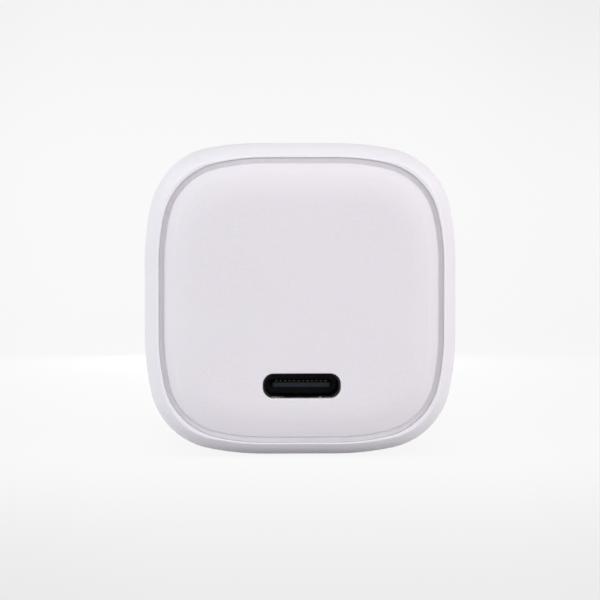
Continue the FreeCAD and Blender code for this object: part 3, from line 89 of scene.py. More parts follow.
class Tree:
    """A tree of nodes. node() adds one, with its settings first and then the values of its sockets."""

    def node(self, kind, settings=None, values=None, output=0):
        node = self.tree.nodes.new(kind)
        for name, value in (settings or {}).items():
            setattr(node, name, value)
        for name, value in (values or {}).items():
            self.feed(node.inputs[name], value)
        return Reading(self, node.outputs[output])

    def feed(self, socket, value):
        if isinstance(value, Reading):
            self.tree.links.new(value.socket, socket)
        elif socket.type == "RGBA" and len(value) == 3:
            socket.default_value = (*value, 1.0)
        else:
            socket.default_value = value


class Finish(Tree):
    """One material. Its even values are set on the shader's own sockets; what changes over the surface
    is linked by colour(), roughness() and the others."""

    def __init__(self, name, **even):
        self.material = bpy.data.materials.new(name)
        self.material.use_nodes = True
        self.tree = self.material.node_tree
        self.shader = self.tree.nodes["Principled BSDF"]
        for socket, value in even.items():
            self.feed(self.shader.inputs[socket.replace("_", " ")], value)

    def place(self, turn=(0, 0, 0), stretch=(1, 1, 1), centre=(0, 0, 0)):
        """Where a point of the piece is from a centre, turned and stretched."""
        at = self.node("ShaderNodeTexCoord", output="Object")
        moved = self.node("ShaderNodeVectorMath", {"operation": "SUBTRACT"}, {0: at, 1: centre})
        values = {"Vector": moved, "Rotation": turn, "Scale": stretch}
        return self.node("ShaderNodeMapping", None, values)

    def along(self, axis, centre=(0, 0, 0)):
        """How far a point is from the centre along an axis."""
        at = self.place(centre=centre)
        return self.node("ShaderNodeSeparateXYZ", None, {0: at}, "XYZ".index(axis))

    def away(self, axis, centre):
        """How far a point is from a line through the centre."""
        stretch = tuple(0.0 if name == axis else 1.0 for name in "XYZ")
        at = self.place(stretch=stretch, centre=centre)
        return self.node("ShaderNodeVectorMath", {"operation": "LENGTH"}, {0: at}, "Value")

    def facing(self, axis):
        """How far the surface looks along an axis, from -1 to 1."""
        normal = self.node("ShaderNodeNewGeometry", output="Normal")
        return self.node("ShaderNodeSeparateXYZ", None, {0: normal}, "XYZ".index(axis))

    def clouds(self, size, detail=2.0, rough=0.5, stretch=(1, 1, 1), turn=(0, 0, 0)):
        """A cloudy pattern from 0 to 1, with lumps of about that size in metres."""
        values = {
            "Vector": self.place(turn, stretch),
            "Scale": 1.0 / size,
            "Detail": detail,
            "Roughness": rough,
        }
        return self.node("ShaderNodeTexNoise", None, values)

    def cells(self, size, feature="F1"):
        """Cells about that size across. F1 is 0 in each cell's middle."""
        values = {"Vector": self.place(), "Scale": 1.0 / size}
        return self.node("ShaderNodeTexVoronoi", {"feature": feature}, values)

    def blend(self, one, other, by):
        return self.node("ShaderNodeMix", {"data_type": "RGBA"}, {0: by, 6: one, 7: other}, 2)

    def colour(self, value):
        self.feed(self.shader.inputs["Base Color"], value)

    def roughness(self, value):
        self.feed(self.shader.inputs["Roughness"], value)

    def metallic(self, value):
        self.feed(self.shader.inputs["Metallic"], value)

    def relief(self, *layers):
        """Raises the surface by each reading times its height in metres."""
        under = None
        for reading, height in layers:
            values = {"Height": reading, "Distance": height, "Strength": 1.0}
            if under is not None:
                values["Normal"] = under
            under = self.node("ShaderNodeBump", None, values)
        self.feed(self.shader.inputs["Normal"], under)

    def on(self, *nodes):
        for name in nodes:
            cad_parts[name].material_slots[0].material = self.material


def shaded(colour, share):
    """A colour made darker, or lighter where the share is over 1."""
    return tuple(min(1.0, part * share) for part in colour)


MASK_GREEN = (0.012, 0.075, 0.030)
MASK_OVER_COPPER = (0.022, 0.125, 0.045)
BARE_LAMINATE = (0.42, 0.36, 0.20)
COPPER_HEIGHT, POUR_SIZE, WEAVE_SIZE = 0.00003, 0.0042, 0.00035


def laminate(name, flat_axis, track_pitch):
    """Copper tracks that stand a little proud under the mask, on the two faces across flat_axis."""
    made = Finish(name, IOR=1.5)
    tracks = made.cells(track_pitch, "DISTANCE_TO_EDGE").between(0.16, 0.06)
    pours = made.clouds(POUR_SIZE, 1.0).between(0.47, 0.50)
    copper_under = tracks.maths("MAXIMUM", tracks, pours)
    mottle = made.clouds(0.0016, 3.0, 0.6)
    face = made.blend(MASK_GREEN, MASK_OVER_COPPER, copper_under)
    face = made.blend(face, shaded(MASK_GREEN, 0.7), mottle.between(0.5, 0.9) * 0.4)
    weave = made.clouds(WEAVE_SIZE, 2.0, 0.5, (1.0, 1.0, 6.0))
    edge_colour = made.blend(BARE_LAMINATE, shaded(BARE_LAMINATE, 0.65), weave.between(0.35, 0.7))
    on_face = abs(made.facing(flat_axis)).between(0.6, 0.9)
    made.colour(made.blend(edge_colour, face, on_face))
    made.roughness(0.62 - on_face * 0.34 + mottle * 0.08)
    made.relief((copper_under * on_face, COPPER_HEIGHT), (weave, 0.000006))
    return made


MAIN_TRACK_PITCH = 0.0046
laminate("main board", "Z", MAIN_TRACK_PITCH).on("main_board")


# Input board

# The upright board at the back, which carries the mains parts and the blades' contacts. It is the same
# laminate; four square tinned pins hold it on the main board and carry its current.

INPUT_TRACK_PITCH = 0.0052
laminate("input board", "Y", INPUT_TRACK_PITCH).on("input_board")


TIN_BRIGHT, TIN_DULL = (0.66, 0.66, 0.65), (0.50, 0.49, 0.47)


def tinned(name):
    """Wire or pin with a hot-dipped tin coat, uneven and a little dull."""
    made = Finish(name, Metallic=1.0)
    dip = made.clouds(0.0006, 3.0, 0.6)
    made.colour(made.blend(TIN_BRIGHT, TIN_DULL, dip.between(0.4, 0.75)))
    made.roughness(0.24 + dip * 0.22)
    made.relief((dip, 0.00001))
    return made


tinned("tinned pins").on("board_pins")


# Transformer

# Two halves of dark ferrite round a moulded bobbin, held together by a turn of yellow polyester tape.
# The primary is enamelled copper wire in layers, the secondary triple-insulated wire over a tape.

FERRITE_DARK, FERRITE_GREY = (0.040, 0.040, 0.043), (0.085, 0.082, 0.082)
ferrite = Finish("ferrite", IOR=1.9)
sinter = ferrite.clouds(0.00022, 4.0, 0.7)
nicks = ferrite.cells(0.0019).between(0.10, 0.04)
ferrite.colour(ferrite.blend(FERRITE_DARK, FERRITE_GREY, sinter.between(0.4, 0.8)))
ferrite.roughness(0.52 + sinter * 0.2 - nicks * 0.2)
ferrite.relief((sinter, 0.000012), (nicks, -0.00004))
ferrite.on("core_lower", "core_upper")

RESIN_BLACK, RESIN_PALER = (0.020, 0.020, 0.022), (0.040, 0.039, 0.040)
bobbin_resin = Finish("bobbin resin", IOR=1.55)
resin_flow = bobbin_resin.clouds(0.0024, 3.0, 0.6)
bobbin_resin.colour(bobbin_resin.blend(RESIN_BLACK, RESIN_PALER, resin_flow))
bobbin_resin.roughness(0.36 + resin_flow * 0.16)
bobbin_resin.relief((bobbin_resin.clouds(0.00015, 2.0), 0.000004))
bobbin_resin.on("bobbin")


def polyester_tape(name, colour, lap):
    """Thin coated tape with creases that stand up by lap and a few bubbles under it."""
    made = Finish(name, IOR=1.6, Coat_Weight=0.35, Coat_Roughness=0.12)
    creases = made.clouds(0.0009, 3.0, 0.55, (1.0, 1.0, 0.35))
    bubbles = made.cells(0.0014).between(0.16, 0.08)
    shade = made.blend(colour, shaded(colour, 0.80), creases.between(0.35, 0.8))
    made.colour(made.blend(shade, shaded(colour, 1.12), bubbles * 0.4))
    made.roughness(0.28 + creases * 0.16)
    made.relief((creases, lap), (bubbles, 0.000008))
    return made


polyester_tape("core tape", (0.80, 0.52, 0.045), lap=0.000030).on("core_tape")
polyester_tape("winding tape", (0.82, 0.60, 0.10), lap=0.000018).on("winding_tape")


class Recipe(Tree):
    """A Geometry Nodes tree whose sizes are named inputs. cast() makes a plain mesh piece with it."""

    def __init__(self, name, **sizes):
        self.name = name
        self.tree = bpy.data.node_groups.new(name, "GeometryNodeTree")
        self.tree.interface.new_socket("Points", in_out="INPUT", socket_type="NodeSocketGeometry")
        self.tree.interface.new_socket("Shape", in_out="OUTPUT", socket_type="NodeSocketGeometry")
        self.sockets = {}
        kinds = {int: "NodeSocketInt", float: "NodeSocketFloat", tuple: "NodeSocketVector"}
        for size, value in sizes.items():
            kind = kinds[type(value)]
            socket = self.tree.interface.new_socket(size, in_out="INPUT", socket_type=kind)
            socket.default_value = value
            self.sockets[size] = socket.identifier
        self.entry = self.tree.nodes.new("NodeGroupInput")

    def __getitem__(self, size):
        return Reading(self, self.entry.outputs[size])

    def end(self, shape, finish):
        """Makes the instances real and gives the shape its material."""
        real = self.node("GeometryNodeRealizeInstances", None, {0: shape})
        values = {"Geometry": real, "Material": finish.material}
        painted = self.node("GeometryNodeSetMaterial", None, values)
        exit_node = self.tree.nodes.new("NodeGroupOutput")
        self.tree.links.new(painted.socket, exit_node.inputs["Shape"])

    def cast(self, name, points=((0, 0, 0),), **sizes):
        seed = bpy.data.meshes.new(name + "_points")
        seed.from_pydata([tuple(p) for p in points], [], [])
        worker = bpy.data.objects.new(name + "_worker", seed)
        bpy.context.scene.collection.objects.link(worker)
        modifier = worker.modifiers.new(self.name, "NODES")
        modifier.node_group = self.tree
        for size, value in sizes.items():
            modifier[self.sockets[size]] = value
        depsgraph = bpy.context.evaluated_depsgraph_get()
        mesh = bpy.data.meshes.new_from_object(worker.evaluated_get(depsgraph))
        worker.modifiers.remove(modifier)
        bpy.data.objects.remove(worker)
        mesh.name = name
        piece = bpy.data.objects.new(name, mesh)
        bpy.context.scene.collection.objects.link(piece)
        return piece


def wound(name, finish, centre):
    """A coil of round wire on a round former that stands up: turns lie one on the other."""
    made = Recipe(name, turns=10.0, radius=0.006, rise=0.007, wire=0.0003, foot=0.01)
    spiral = {"Resolution": 48, "Rotations": made["turns"], "Height": made["rise"]}
    spiral.update({"Start Radius": made["radius"], "End Radius": made["radius"]})
    line = made.node("GeometryNodeCurveSpiral", None, spiral)
    ring = {"Resolution": 8, "Radius": made["wire"]}
    round_wire = made.node("GeometryNodeCurvePrimitiveCircle", None, ring)
    sweep = {"Curve": line, "Profile Curve": round_wire, "Fill Caps": True}
    tube = made.node("GeometryNodeCurveToMesh", None, sweep)
    smooth = made.node("GeometryNodeSetShadeSmooth", None, {0: tube})
    at = made.node("ShaderNodeCombineXYZ", None, {0: centre[0], 1: centre[1], 2: made["foot"]})
    made.end(made.node("GeometryNodeTransform", None, {"Geometry": smooth, "Translation": at}), finish)
    return made


def enamel(name, colour, deep):
    """Copper under a clear enamel that is deeper in colour where it ran thick."""
    made = Finish(name, Metallic=0.75, Coat_Weight=0.6, Coat_Roughness=0.16)
    uneven = made.clouds(0.0008, 3.0, 0.6)
    made.colour(made.blend(colour, deep, uneven.between(0.35, 0.75)))
    made.roughness(0.26 + uneven * 0.18)
    made.relief((uneven, 0.000008))
    return made


def stack_up(piece, others):
    """Joins meshes of one material into the first."""
    with bpy.context.temp_override(active_object=piece, selected_editable_objects=[piece, *others]):
        bpy.ops.object.join()
    return piece


TURN_PITCH = 2.04


def coil_sizes(low, high, wire, layer=0):
    """The turns that fill a winding's height. A turn takes TURN_PITCH wire radii, and each further
    layer lies one wire further in."""
    rise = high.z - low.z - 2 * wire
    return {
        "turns": rise / (TURN_PITCH * wire),
        "radius": (high.x - low.x) / 2 - wire * (1 + 2 * layer),
        "rise": rise,
        "wire": wire,
        "foot": low.z + wire,
    }


PRIMARY_WIRE, PRIMARY_LAYERS = 0.00013, 5
low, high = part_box("primary_winding")
fine_copper = enamel("enamelled copper", (0.62, 0.23, 0.085), deep=(0.40, 0.13, 0.05))
primary = wound("primary_coil", fine_copper, (low + high) / 2)
layers = []
for layer in range(PRIMARY_LAYERS):
    sizes = coil_sizes(low, high, PRIMARY_WIRE, layer)
    layers.append(primary.cast(f"primary_layer_{layer}", **sizes))
primary_wire = stack_up(layers[0], layers[1:])
primary_wire.name = "primary_wire"
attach(primary_wire, "housing")
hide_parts("primary_winding")

low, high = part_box("secondary_winding")
SECONDARY_WIRE, WIRE_YELLOW, WIRE_YELLOW_DEEP = 0.00034, (0.70, 0.55, 0.12), (0.58, 0.42, 0.07)
insulated = Finish("triple-insulated wire", IOR=1.5, Coat_Weight=0.3, Coat_Roughness=0.2)
sheen = insulated.clouds(0.0015, 2.0)
insulated.colour(insulated.blend(WIRE_YELLOW, WIRE_YELLOW_DEEP, sheen.between(0.3, 0.8)))
insulated.roughness(0.30 + sheen * 0.15)
insulated.relief((insulated.clouds(0.0002, 2.0), 0.000004))
secondary = wound("secondary_coil", insulated, (low + high) / 2)
secondary_wire = secondary.cast("secondary_wire", **coil_sizes(low, high, SECONDARY_WIRE))
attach(secondary_wire, "housing")
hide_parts("secondary_winding")


# Capacitors

# The two long cans under the roof are aluminium in a shrunk black film, folded over the rims; the two
# polymer cans by the transformer are bare aluminium. Rubber seals close them round their tinned leads.


DIE_LINE, ALUMINIUM, ALUMINIUM_LINED = 0.00012, (0.70, 0.70, 0.71), (0.58, 0.58, 0.60)


def drawn_aluminium(made, axis):
    """The fine lines that the die leaves along an axis, and the metal's colour with them."""
    stretch = tuple(0.04 if name == axis else 1.0 for name in "XYZ")
    lines = made.clouds(DIE_LINE, 3.0, 0.6, stretch)
    return lines, made.blend(ALUMINIUM, ALUMINIUM_LINED, lines)


FILM_BLACK, STRIPE_GREY = (0.010, 0.010, 0.012), (0.62, 0.62, 0.60)
FILM_THICKNESS_SHOWN, FILM_LUMP = 0.00004, 0.0022
BULK_CANS = ["bulk_capacitor_left", "bulk_capacitor_right"]
sleeved = Finish("black-sleeved can", Coat_Weight=0.1)
drawn, bare = drawn_aluminium(sleeved, "Y")
shrink = sleeved.clouds(FILM_LUMP, 3.0, 0.5)
covered, stripe = None, None
for name in BULK_CANS:
    low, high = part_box(name)
    radius, middle = (high.x - low.x) / 2, (low + high) / 2
    off_axis = sleeved.away("Y", middle)
    near = off_axis.between(radius * 1.08, radius * 1.06)
    rim = near * off_axis.between(radius * 0.80, radius * 0.82)
    line = near * sleeved.along("X", middle).between(radius * -0.70, radius * -0.74)
    covered = rim if covered is None else covered.maths("MAXIMUM", covered, rim)
    stripe = line if stripe is None else stripe.maths("MAXIMUM", stripe, line)
film = sleeved.blend(FILM_BLACK, shaded(FILM_BLACK, 1.7), shrink.between(0.5, 0.9))
film = sleeved.blend(film, STRIPE_GREY, stripe)
sleeved.colour(sleeved.blend(bare, film, covered))
sleeved.metallic(1.0 - covered)
sleeved.roughness(0.26 + drawn * 0.12 + shrink * 0.08)
sleeved.relief((shrink, 0.00002), (covered, FILM_THICKNESS_SHOWN))
sleeved.on(*BULK_CANS)

bare_can = Finish("bare can", Coat_Weight=0.1)
drawn, bare = drawn_aluminium(bare_can, "Z")
bare_can.colour(bare)
bare_can.metallic(0.92 + drawn * 0.08)
bare_can.roughness(0.22 + drawn * 0.2)
bare_can.relief((drawn, 0.0000015))
bare_can.on("output_capacitor_front", "output_capacitor_rear")

BUTYL_BLACK, BUTYL_GREY = (0.018, 0.018, 0.018), (0.040, 0.038, 0.036)
seal = Finish("butyl seal", IOR=1.5)
skin = seal.clouds(0.0005, 3.0, 0.6)
seal.colour(seal.blend(BUTYL_BLACK, BUTYL_GREY, skin.between(0.4, 0.8)))
seal.roughness(0.66 + skin * 0.2)
seal.relief((skin, 0.00001))
seal.on("bulk_seals", "output_seals")

tinned("tinned leads").on("bulk_leads", "film_leads", "disc_leads", "varistor_leads")


# Mains parts

# The film capacitor is a yellow moulded box filled with resin. The safety capacitor and the varistor are
# discs dipped in epoxy, which pools towards their leads. The fuse has a brown moulded case.


def moulded_box(name, colour, nodes, gloss):
    """Hard resin with a faint flow and the fine grain of a spark-eroded tool."""
    made = Finish(name, IOR=1.5)
    flow = made.clouds(0.0035, 3.0, 0.5)
    spark = made.clouds(0.00013, 3.0, 0.6)
    made.colour(made.blend(colour, shaded(colour, 0.82), flow.between(0.35, 0.8)))
    made.roughness(gloss + (spark - 0.5) * 0.14 + flow * 0.05)
    made.relief((spark, 0.000005), (flow, 0.00001))
    made.on(*nodes)


def dipped(name, colour, nodes):
    """Epoxy from a dip, with soft runs and a few pits."""
    made = Finish(name, IOR=1.55, Coat_Weight=0.3, Coat_Roughness=0.15)
    drips = made.clouds(0.0018, 3.0, 0.5)
    pits = made.cells(0.0007).between(0.14, 0.07)
    made.colour(made.blend(colour, shaded(colour, 0.62), drips.between(0.3, 0.8)))
    made.roughness(0.26 + drips * 0.2)
    made.relief((drips, 0.00005), (pits, -0.00002))
    made.on(*nodes)


moulded_box("yellow box", (0.66, 0.46, 0.03), ["film_capacitor"], gloss=0.34)
moulded_box("brown fuse case", (0.085, 0.040, 0.022), ["fuse"], gloss=0.38)
dipped("blue disc", (0.035, 0.13, 0.34), ["disc_capacitor"])
dipped("green disc", (0.020, 0.14, 0.075), ["varistor"])


# Choke

# A ring of ferrite with a green epoxy coat. Five turns of thick enamelled wire are wound by hand on
# each side of it, close together in its bore and fanned out round its rim. It sits on a moulded base.

COAT_GREEN, COAT_GREEN_PALER = (0.020, 0.160, 0.085), (0.035, 0.24, 0.12)
coat = Finish("green ring coat", IOR=1.55)
powder = coat.clouds(0.0004, 3.0, 0.6)
coat.colour(coat.blend(COAT_GREEN, COAT_GREEN_PALER, powder.between(0.35, 0.75)))
coat.roughness(0.42 + powder * 0.2)
coat.relief((powder, 0.00002))
coat.on("choke_core")
moulded_box("choke base", (0.022, 0.022, 0.024), ["choke_base"], gloss=0.42)

TURNS_A_SIDE, TURN_STEP, CHOKE_WIRE, RING_BORE = 5, 0.36, 0.00031, 0.0021
low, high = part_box("choke_core")
ring_centre = (low + high) / 2
ring_outer, ring_half = (high.x - low.x) / 2, (high.y - low.y) / 2
choke_copper = enamel("thick enamelled copper", (0.66, 0.25, 0.09), deep=(0.45, 0.15, 0.06))
ring_sizes = {
    "count": TURNS_A_SIDE,
    "step": TURN_STEP,
    "inner": RING_BORE,
    "outer": ring_outer,
    "half": ring_half,
    "wire": CHOKE_WIRE,
}
winding = Recipe("ring_turns", middle=0.0, **ring_sizes)
inner, outer, half, wire = (winding[size] for size in ("inner", "outer", "half", "wire"))
loop_size = {0: outer - inner + wire * 2, 1: half * 2 + wire * 2}
loop = winding.node("GeometryNodeCurvePrimitiveQuadrilateral", {"mode": "RECTANGLE"}, loop_size)
rounding = {"Curve": loop, "Count": 4, "Radius": wire * 1.6, "Limit Radius": True}
rounded = winding.node("GeometryNodeFilletCurve", {"mode": "POLY"}, rounding)
section = winding.node("GeometryNodeCurvePrimitiveCircle", None, {"Resolution": 10, "Radius": wire})
turn = winding.node("GeometryNodeCurveToMesh", None, {"Curve": rounded, "Profile Curve": section})
turn = winding.node("GeometryNodeSetShadeSmooth", None, {0: turn})
offset = winding.node("ShaderNodeCombineXYZ", None, {0: (outer + inner) * 0.5})
turn = winding.node("GeometryNodeTransform", None, {"Geometry": turn, "Translation": offset})
one_place = {"Count": winding["count"], "Offset": (0, 0, 0)}
places = winding.node("GeometryNodeMeshLine", {"mode": "OFFSET"}, one_place)
number = winding.node("GeometryNodeInputIndex")
angle = winding["middle"] + (number - (winding["count"] - 1) * 0.5) * winding["step"]
about_bore = winding.node("ShaderNodeCombineXYZ", None, {1: angle})
spin = winding.node("FunctionNodeEulerToRotation", None, {0: about_bore})
fanned = {"Points": places, "Instance": turn, "Rotation": spin}
fan = winding.node("GeometryNodeInstanceOnPoints", None, fanned)
on_ring = {"Geometry": fan, "Translation": tuple(ring_centre)}
winding.end(winding.node("GeometryNodeTransform", None, on_ring), choke_copper)
for side, middle in (("left", math.pi), ("right", 0.0)):
    turns = winding.cast(f"choke_turns_{side}", middle=middle, **ring_sizes)
    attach(turns, "housing")
    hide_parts(f"choke_winding_{side}")


# Solder

# Each lead that comes through the input board stands in a small bright cone of solder, wetted up the
# lead and drawn in at the waist. No two are quite alike.

SOLDER_BRIGHT, SOLDER_FROSTED = (0.72, 0.72, 0.71), (0.58, 0.58, 0.57)
solder = Finish("solder", Metallic=1.0)
frost = solder.clouds(0.0003, 3.0, 0.6)
solder.colour(solder.blend(SOLDER_BRIGHT, SOLDER_FROSTED, frost.between(0.4, 0.8)))
solder.roughness(0.18 + frost * 0.22)
solder.relief((frost, 0.000006))

TOWARDS_WALL = (-math.pi / 2, 0.0, 0.0)
joint = Recipe("solder_joints", foot=0.00075, neck=0.00031, rise=0.0005, lean=TOWARDS_WALL)
cone_shape = {"Vertices": 20, "Side Segments": 6, "Depth": joint["rise"]}
cone_shape.update({"Radius Top": joint["neck"], "Radius Bottom": joint["foot"]})
cone = joint.node("GeometryNodeMeshCone", {"fill_type": "NONE"}, cone_shape)
at = joint.node("GeometryNodeInputPosition")
level = joint.node("ShaderNodeSeparateXYZ", None, {0: at}, 2) / joint["rise"]
waist = 1.0 - level * (1.0 - level) * 1.1
narrower = joint.node("ShaderNodeCombineXYZ", None, {0: waist, 1: waist, 2: 1.0})
drawn_in = joint.node("ShaderNodeVectorMath", {"operation": "MULTIPLY"}, {0: at, 1: narrower})
cone = joint.node("GeometryNodeSetPosition", None, {"Geometry": cone, "Position": drawn_in})
cone = joint.node("GeometryNodeSetShadeSmooth", None, {0: cone})
lean = joint.node("FunctionNodeEulerToRotation", None, {0: joint["lean"]})
spread = {"Min": 0.86, "Max": 1.12, "Seed": 7}
unlike = joint.node("FunctionNodeRandomValue", {"data_type": "FLOAT"}, spread, 1)
one_each = {"Points": joint["Points"], "Instance": cone, "Rotation": lean, "Scale": unlike}
joint.end(joint.node("GeometryNodeInstanceOnPoints", None, one_each), solder)

CAN_LEADS_APART, LEAD_RADIUS = 0.0040, 0.0003
board_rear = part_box("input_board")[1].y
lead_spots = []
for name in BULK_CANS:
    low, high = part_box(name)
    middle = (low + high) / 2
    lead_spots += [(middle.x + side * CAN_LEADS_APART / 2, middle.z) for side in (-1, 1)]
for name in ("film_leads", "varistor_leads"):
    low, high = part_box(name)
    upright = (low.z + LEAD_RADIUS, high.z - LEAD_RADIUS)
    lead_spots += [((low.x + high.x) / 2, z) for z in upright]
# A round part's mesh is a hair narrower than the part, so a spot is taken to 0.01 mm.
lead_places = [(round(x, 5), board_rear, round(z, 5)) for x, z in lead_spots]
joints = joint.cast("solder_joints", lead_places)
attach(joints, "housing")


# Chips

# Rectifiers, switch, controllers and coupler in black moulding compound, matt from the tool. Two rows
# of small ceramic capacitors, tan with silvery ends, hang under the main board.

chips = ["bridge_rectifier", "power_switch", "output_rectifier"]
chips += ["controller", "optocoupler", "protocol_chip"]
moulded_box("moulding compound", (0.022, 0.022, 0.024), chips, gloss=0.55)

CERAMIC_STEP, CERAMIC_START = 0.0015, 0.0007
SILVERY_END, CERAMIC_TAN = (0.62, 0.60, 0.56), (0.38, 0.25, 0.14)
ceramic = Finish("small ceramics", IOR=1.6)
row = ceramic.along("Y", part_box("small_parts")[0]) + CERAMIC_START
row = row.maths("PINGPONG", row, CERAMIC_STEP)
tan_middle = row.between(0.00108, 0.00100) * row.between(0.00030, 0.00040)
bake = ceramic.clouds(0.0004, 2.0)
ceramic.colour(ceramic.blend(SILVERY_END, CERAMIC_TAN, tan_middle))
ceramic.metallic(0.9 - tan_middle * 0.9)
ceramic.roughness(0.34 + bake * 0.2)
ceramic.relief((bake, 0.00001))
ceramic.on("small_parts")


# Heat path

# Two soft grey silicone pads carry the chips' heat to a rolled aluminium plate, and a clear-amber film
# keeps the plate off the sleeve's floor.

PAD_GREY, PAD_FILLER = (0.36, 0.40, 0.44), (0.26, 0.29, 0.33)
gap_pad = Finish("silicone pad", IOR=1.42, Subsurface_Weight=0.1, Subsurface_Scale=0.0005)
filler = gap_pad.clouds(0.00025, 3.0, 0.7)
gap_pad.colour(gap_pad.blend(PAD_GREY, PAD_FILLER, filler.between(0.35, 0.75)))
gap_pad.roughness(0.70 + filler * 0.2)
gap_pad.relief((filler, 0.00002))
gap_pad.on("thermal_pads")

PLATE_BRIGHT, PLATE_LINED = (0.76, 0.76, 0.77), (0.66, 0.66, 0.68)
plate = Finish("rolled aluminium", Metallic=1.0)
roll_lines = plate.clouds(0.00011, 3.0, 0.6, (1.0, 0.02, 1.0))
plate.colour(plate.blend(PLATE_BRIGHT, PLATE_LINED, roll_lines))
plate.roughness(0.26 + roll_lines * 0.22)
plate.relief((roll_lines, 0.0000015))
plate.on("heat_spreader")

AMBER, AMBER_DEEP = (0.42, 0.20, 0.035), (0.34, 0.15, 0.025)
amber = Finish("amber film", IOR=1.6, Coat_Weight=0.4, Coat_Roughness=0.1)
ripple = amber.clouds(0.004, 2.0)
amber.colour(amber.blend(AMBER, AMBER_DEEP, ripple))
amber.roughness(0.22 + ripple * 0.15)
amber.relief((ripple, 0.00003))
amber.on("insulating_sheet")


# Sleeve

# The outer moulding of the case, a straight tube of white polycarbonate with squared-off round corners.
# It is moulded in one shot in a spark-eroded tool, which leaves a fine even grain, and its flank narrows
# to a thin rim round the face.


def hair_lines(made, size, turn, amount):
    """Fine scuffs that run one way, in patches."""
    lines = made.clouds(size, 2.0, 0.6, (1.0, 0.02, 1.0), turn)
    patches = made.clouds(size * 30, 1.0)
    return lines.between(0.72 - amount, 0.78 - amount) * patches.between(0.5, 0.62)


GRAIN_SIZE, GRAIN_HEIGHT, FINE_GRAIN_HEIGHT = 0.00011, 0.0000035, 0.000002
FLOW_SIZE, FLOW_HEIGHT, SPECK_APART, SCUFF_DEPTH = 0.011, 0.000002, 0.0021, 0.0000015


def moulding(name, tint, gloss, grain=GRAIN_HEIGHT, polish=None, dust_and_shade=None):
    """Moulded plastic: an even tint with a faint flow pattern, spark-eroded grain, and a little polish
    where hands and bags rub it. polish reads those places from the finish; the other reader darkens the
    colour for dirt and for painted shade in hollows."""
    made = Finish(name, IOR=1.52, Subsurface_Weight=0.16, Subsurface_Scale=0.0014)
    made.shader.inputs["Subsurface Radius"].default_value = (1.0, 0.85, 0.8)
    flow = made.clouds(FLOW_SIZE, 3.0, 0.55, (1.0, 0.45, 1.0))
    speck = made.cells(SPECK_APART).between(0.06, 0.03)
    shade = made.blend(tint, shaded(tint, 0.985), flow.between(0.3, 0.75))
    shade = made.blend(shade, shaded(tint, 0.86), speck * 0.35)
    # Darker where dirt lies, and painted shade in the hollows.
    if dust_and_shade:
        shade = made.blend(shade, shaded(tint, 0.82), dust_and_shade(made))
    made.colour(shade)
    spark = made.clouds(GRAIN_SIZE, 3.0, 0.6)
    scuffs = hair_lines(made, 0.00016, (0.3, 0.9, 0.5), 0.03)
    scuffs = scuffs + hair_lines(made, 0.00012, (1.1, 0.2, 2.0), 0.03)
    rough = gloss + (flow - 0.5) * 0.04 + (spark - 0.5) * 0.08 - scuffs * 0.06
    if polish:
        rough = rough - polish(made) * 0.13
    made.roughness(rough)
    made.relief((flow, FLOW_HEIGHT), (spark, grain), (scuffs, -SCUFF_DEPTH))
    return made


SHELL_TINT = (0.780, 0.750, 0.803)
sleeve_low, sleeve_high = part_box("sleeve")
RIM, SIDE, LEVEL = sleeve_low.y, sleeve_high.x, sleeve_high.z / 2


def rim_polish(made):
    """The rim shines a little more towards its edge."""
    return made.along("Y").between(RIM + 0.0009, RIM + 0.0001)


def groove_dust_and_shade(made):
    """Darker patches at the foot of the groove and in the corner of the ledge: dirt there, and painted
    shade in that recess.
    """
    patches = made.clouds(0.0017, 3.0, 0.6).between(0.35, 0.75)
    inside = made.along("Y").between(RIM + 0.0002, RIM + 0.0004)
    across = abs(made.along("X"))
    up = abs(made.along("Z", (0, 0, LEVEL)))
    reach = across.maths("MAXIMUM", across, up)
    return inside * reach.between(SIDE - 0.0008, SIDE - 0.0014) * patches * 0.20


moulding("white sleeve", SHELL_TINT, gloss=0.42, polish=rim_polish, dust_and_shade=groove_dust_and_shade).on("sleeve")


# Front cover

# The pillow-shaped face, a crowned plate of the same white polycarbonate that snaps in behind the rim.
# Its socket opening has a small radius all round, which catches the light from above.

# The face is the sleeve's white painted a little darker: painted shade on the face that looks to the
# front.
FACE_SHADED_TINT = (0.745, 0.710, 0.757)


def pillow_polish(made):
    """The crown of the face stands out most and is rubbed first."""
    return made.along("Y").between(RIM + 0.0001, RIM - 0.0004)


white_face = moulding("white face", FACE_SHADED_TINT, gloss=0.40, polish=pillow_polish, dust_and_shade=groove_dust_and_shade)
white_face.on("front_cover")


# Socket

# A reversible socket: a shell drawn from stainless strip, painted near black for the shade inside the
# opening but bright where a plug's springs rub it, a black glass-filled tongue, and two rows of twelve
# gold-plated contacts, pressed in from behind, whose gold is painted darker for the same shade.

SPRING_PLACE, SPRING_REACH, RUB_DEPTH = 0.0027, 0.0006, 0.0023
# The steel is painted near black: painted shade for the inside of the opening, not the steel's own
# colour.
SHADED_STEEL, SHADED_STEEL_PALER = (0.026, 0.026, 0.028), (0.048, 0.046, 0.046)
RUBBED_STEEL = (0.62, 0.58, 0.48)
shell_metal = Finish("drawn socket steel", Metallic=1.0)
draw_lines = shell_metal.clouds(0.00012, 3.0, 0.6, (1.0, 0.03, 1.0))
steel_in_painted_shade = shell_metal.blend(SHADED_STEEL, SHADED_STEEL_PALER, shell_metal.clouds(0.0012))
low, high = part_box("socket_shell")
below_tongue = shell_metal.along("Z", (low + high) / 2).between(-0.0004, -0.0009)
spring_band = abs(abs(shell_metal.along("X")) - SPRING_PLACE)
spring_band = spring_band.between(SPRING_REACH + 0.0003, SPRING_REACH)
rubbed = spring_band * shell_metal.clouds(0.00028, 2.0).between(0.50, 0.62)
plug_depth = shell_metal.along("Y", low).between(RUB_DEPTH + 0.0010, RUB_DEPTH)
rubbed = rubbed * below_tongue * plug_depth
shell_metal.colour(shell_metal.blend(steel_in_painted_shade, RUBBED_STEEL, rubbed))
shell_metal.roughness(0.34 + draw_lines * 0.18 - rubbed * 0.10)
shell_metal.relief((draw_lines, 0.0000015))
shell_metal.on("socket_shell")

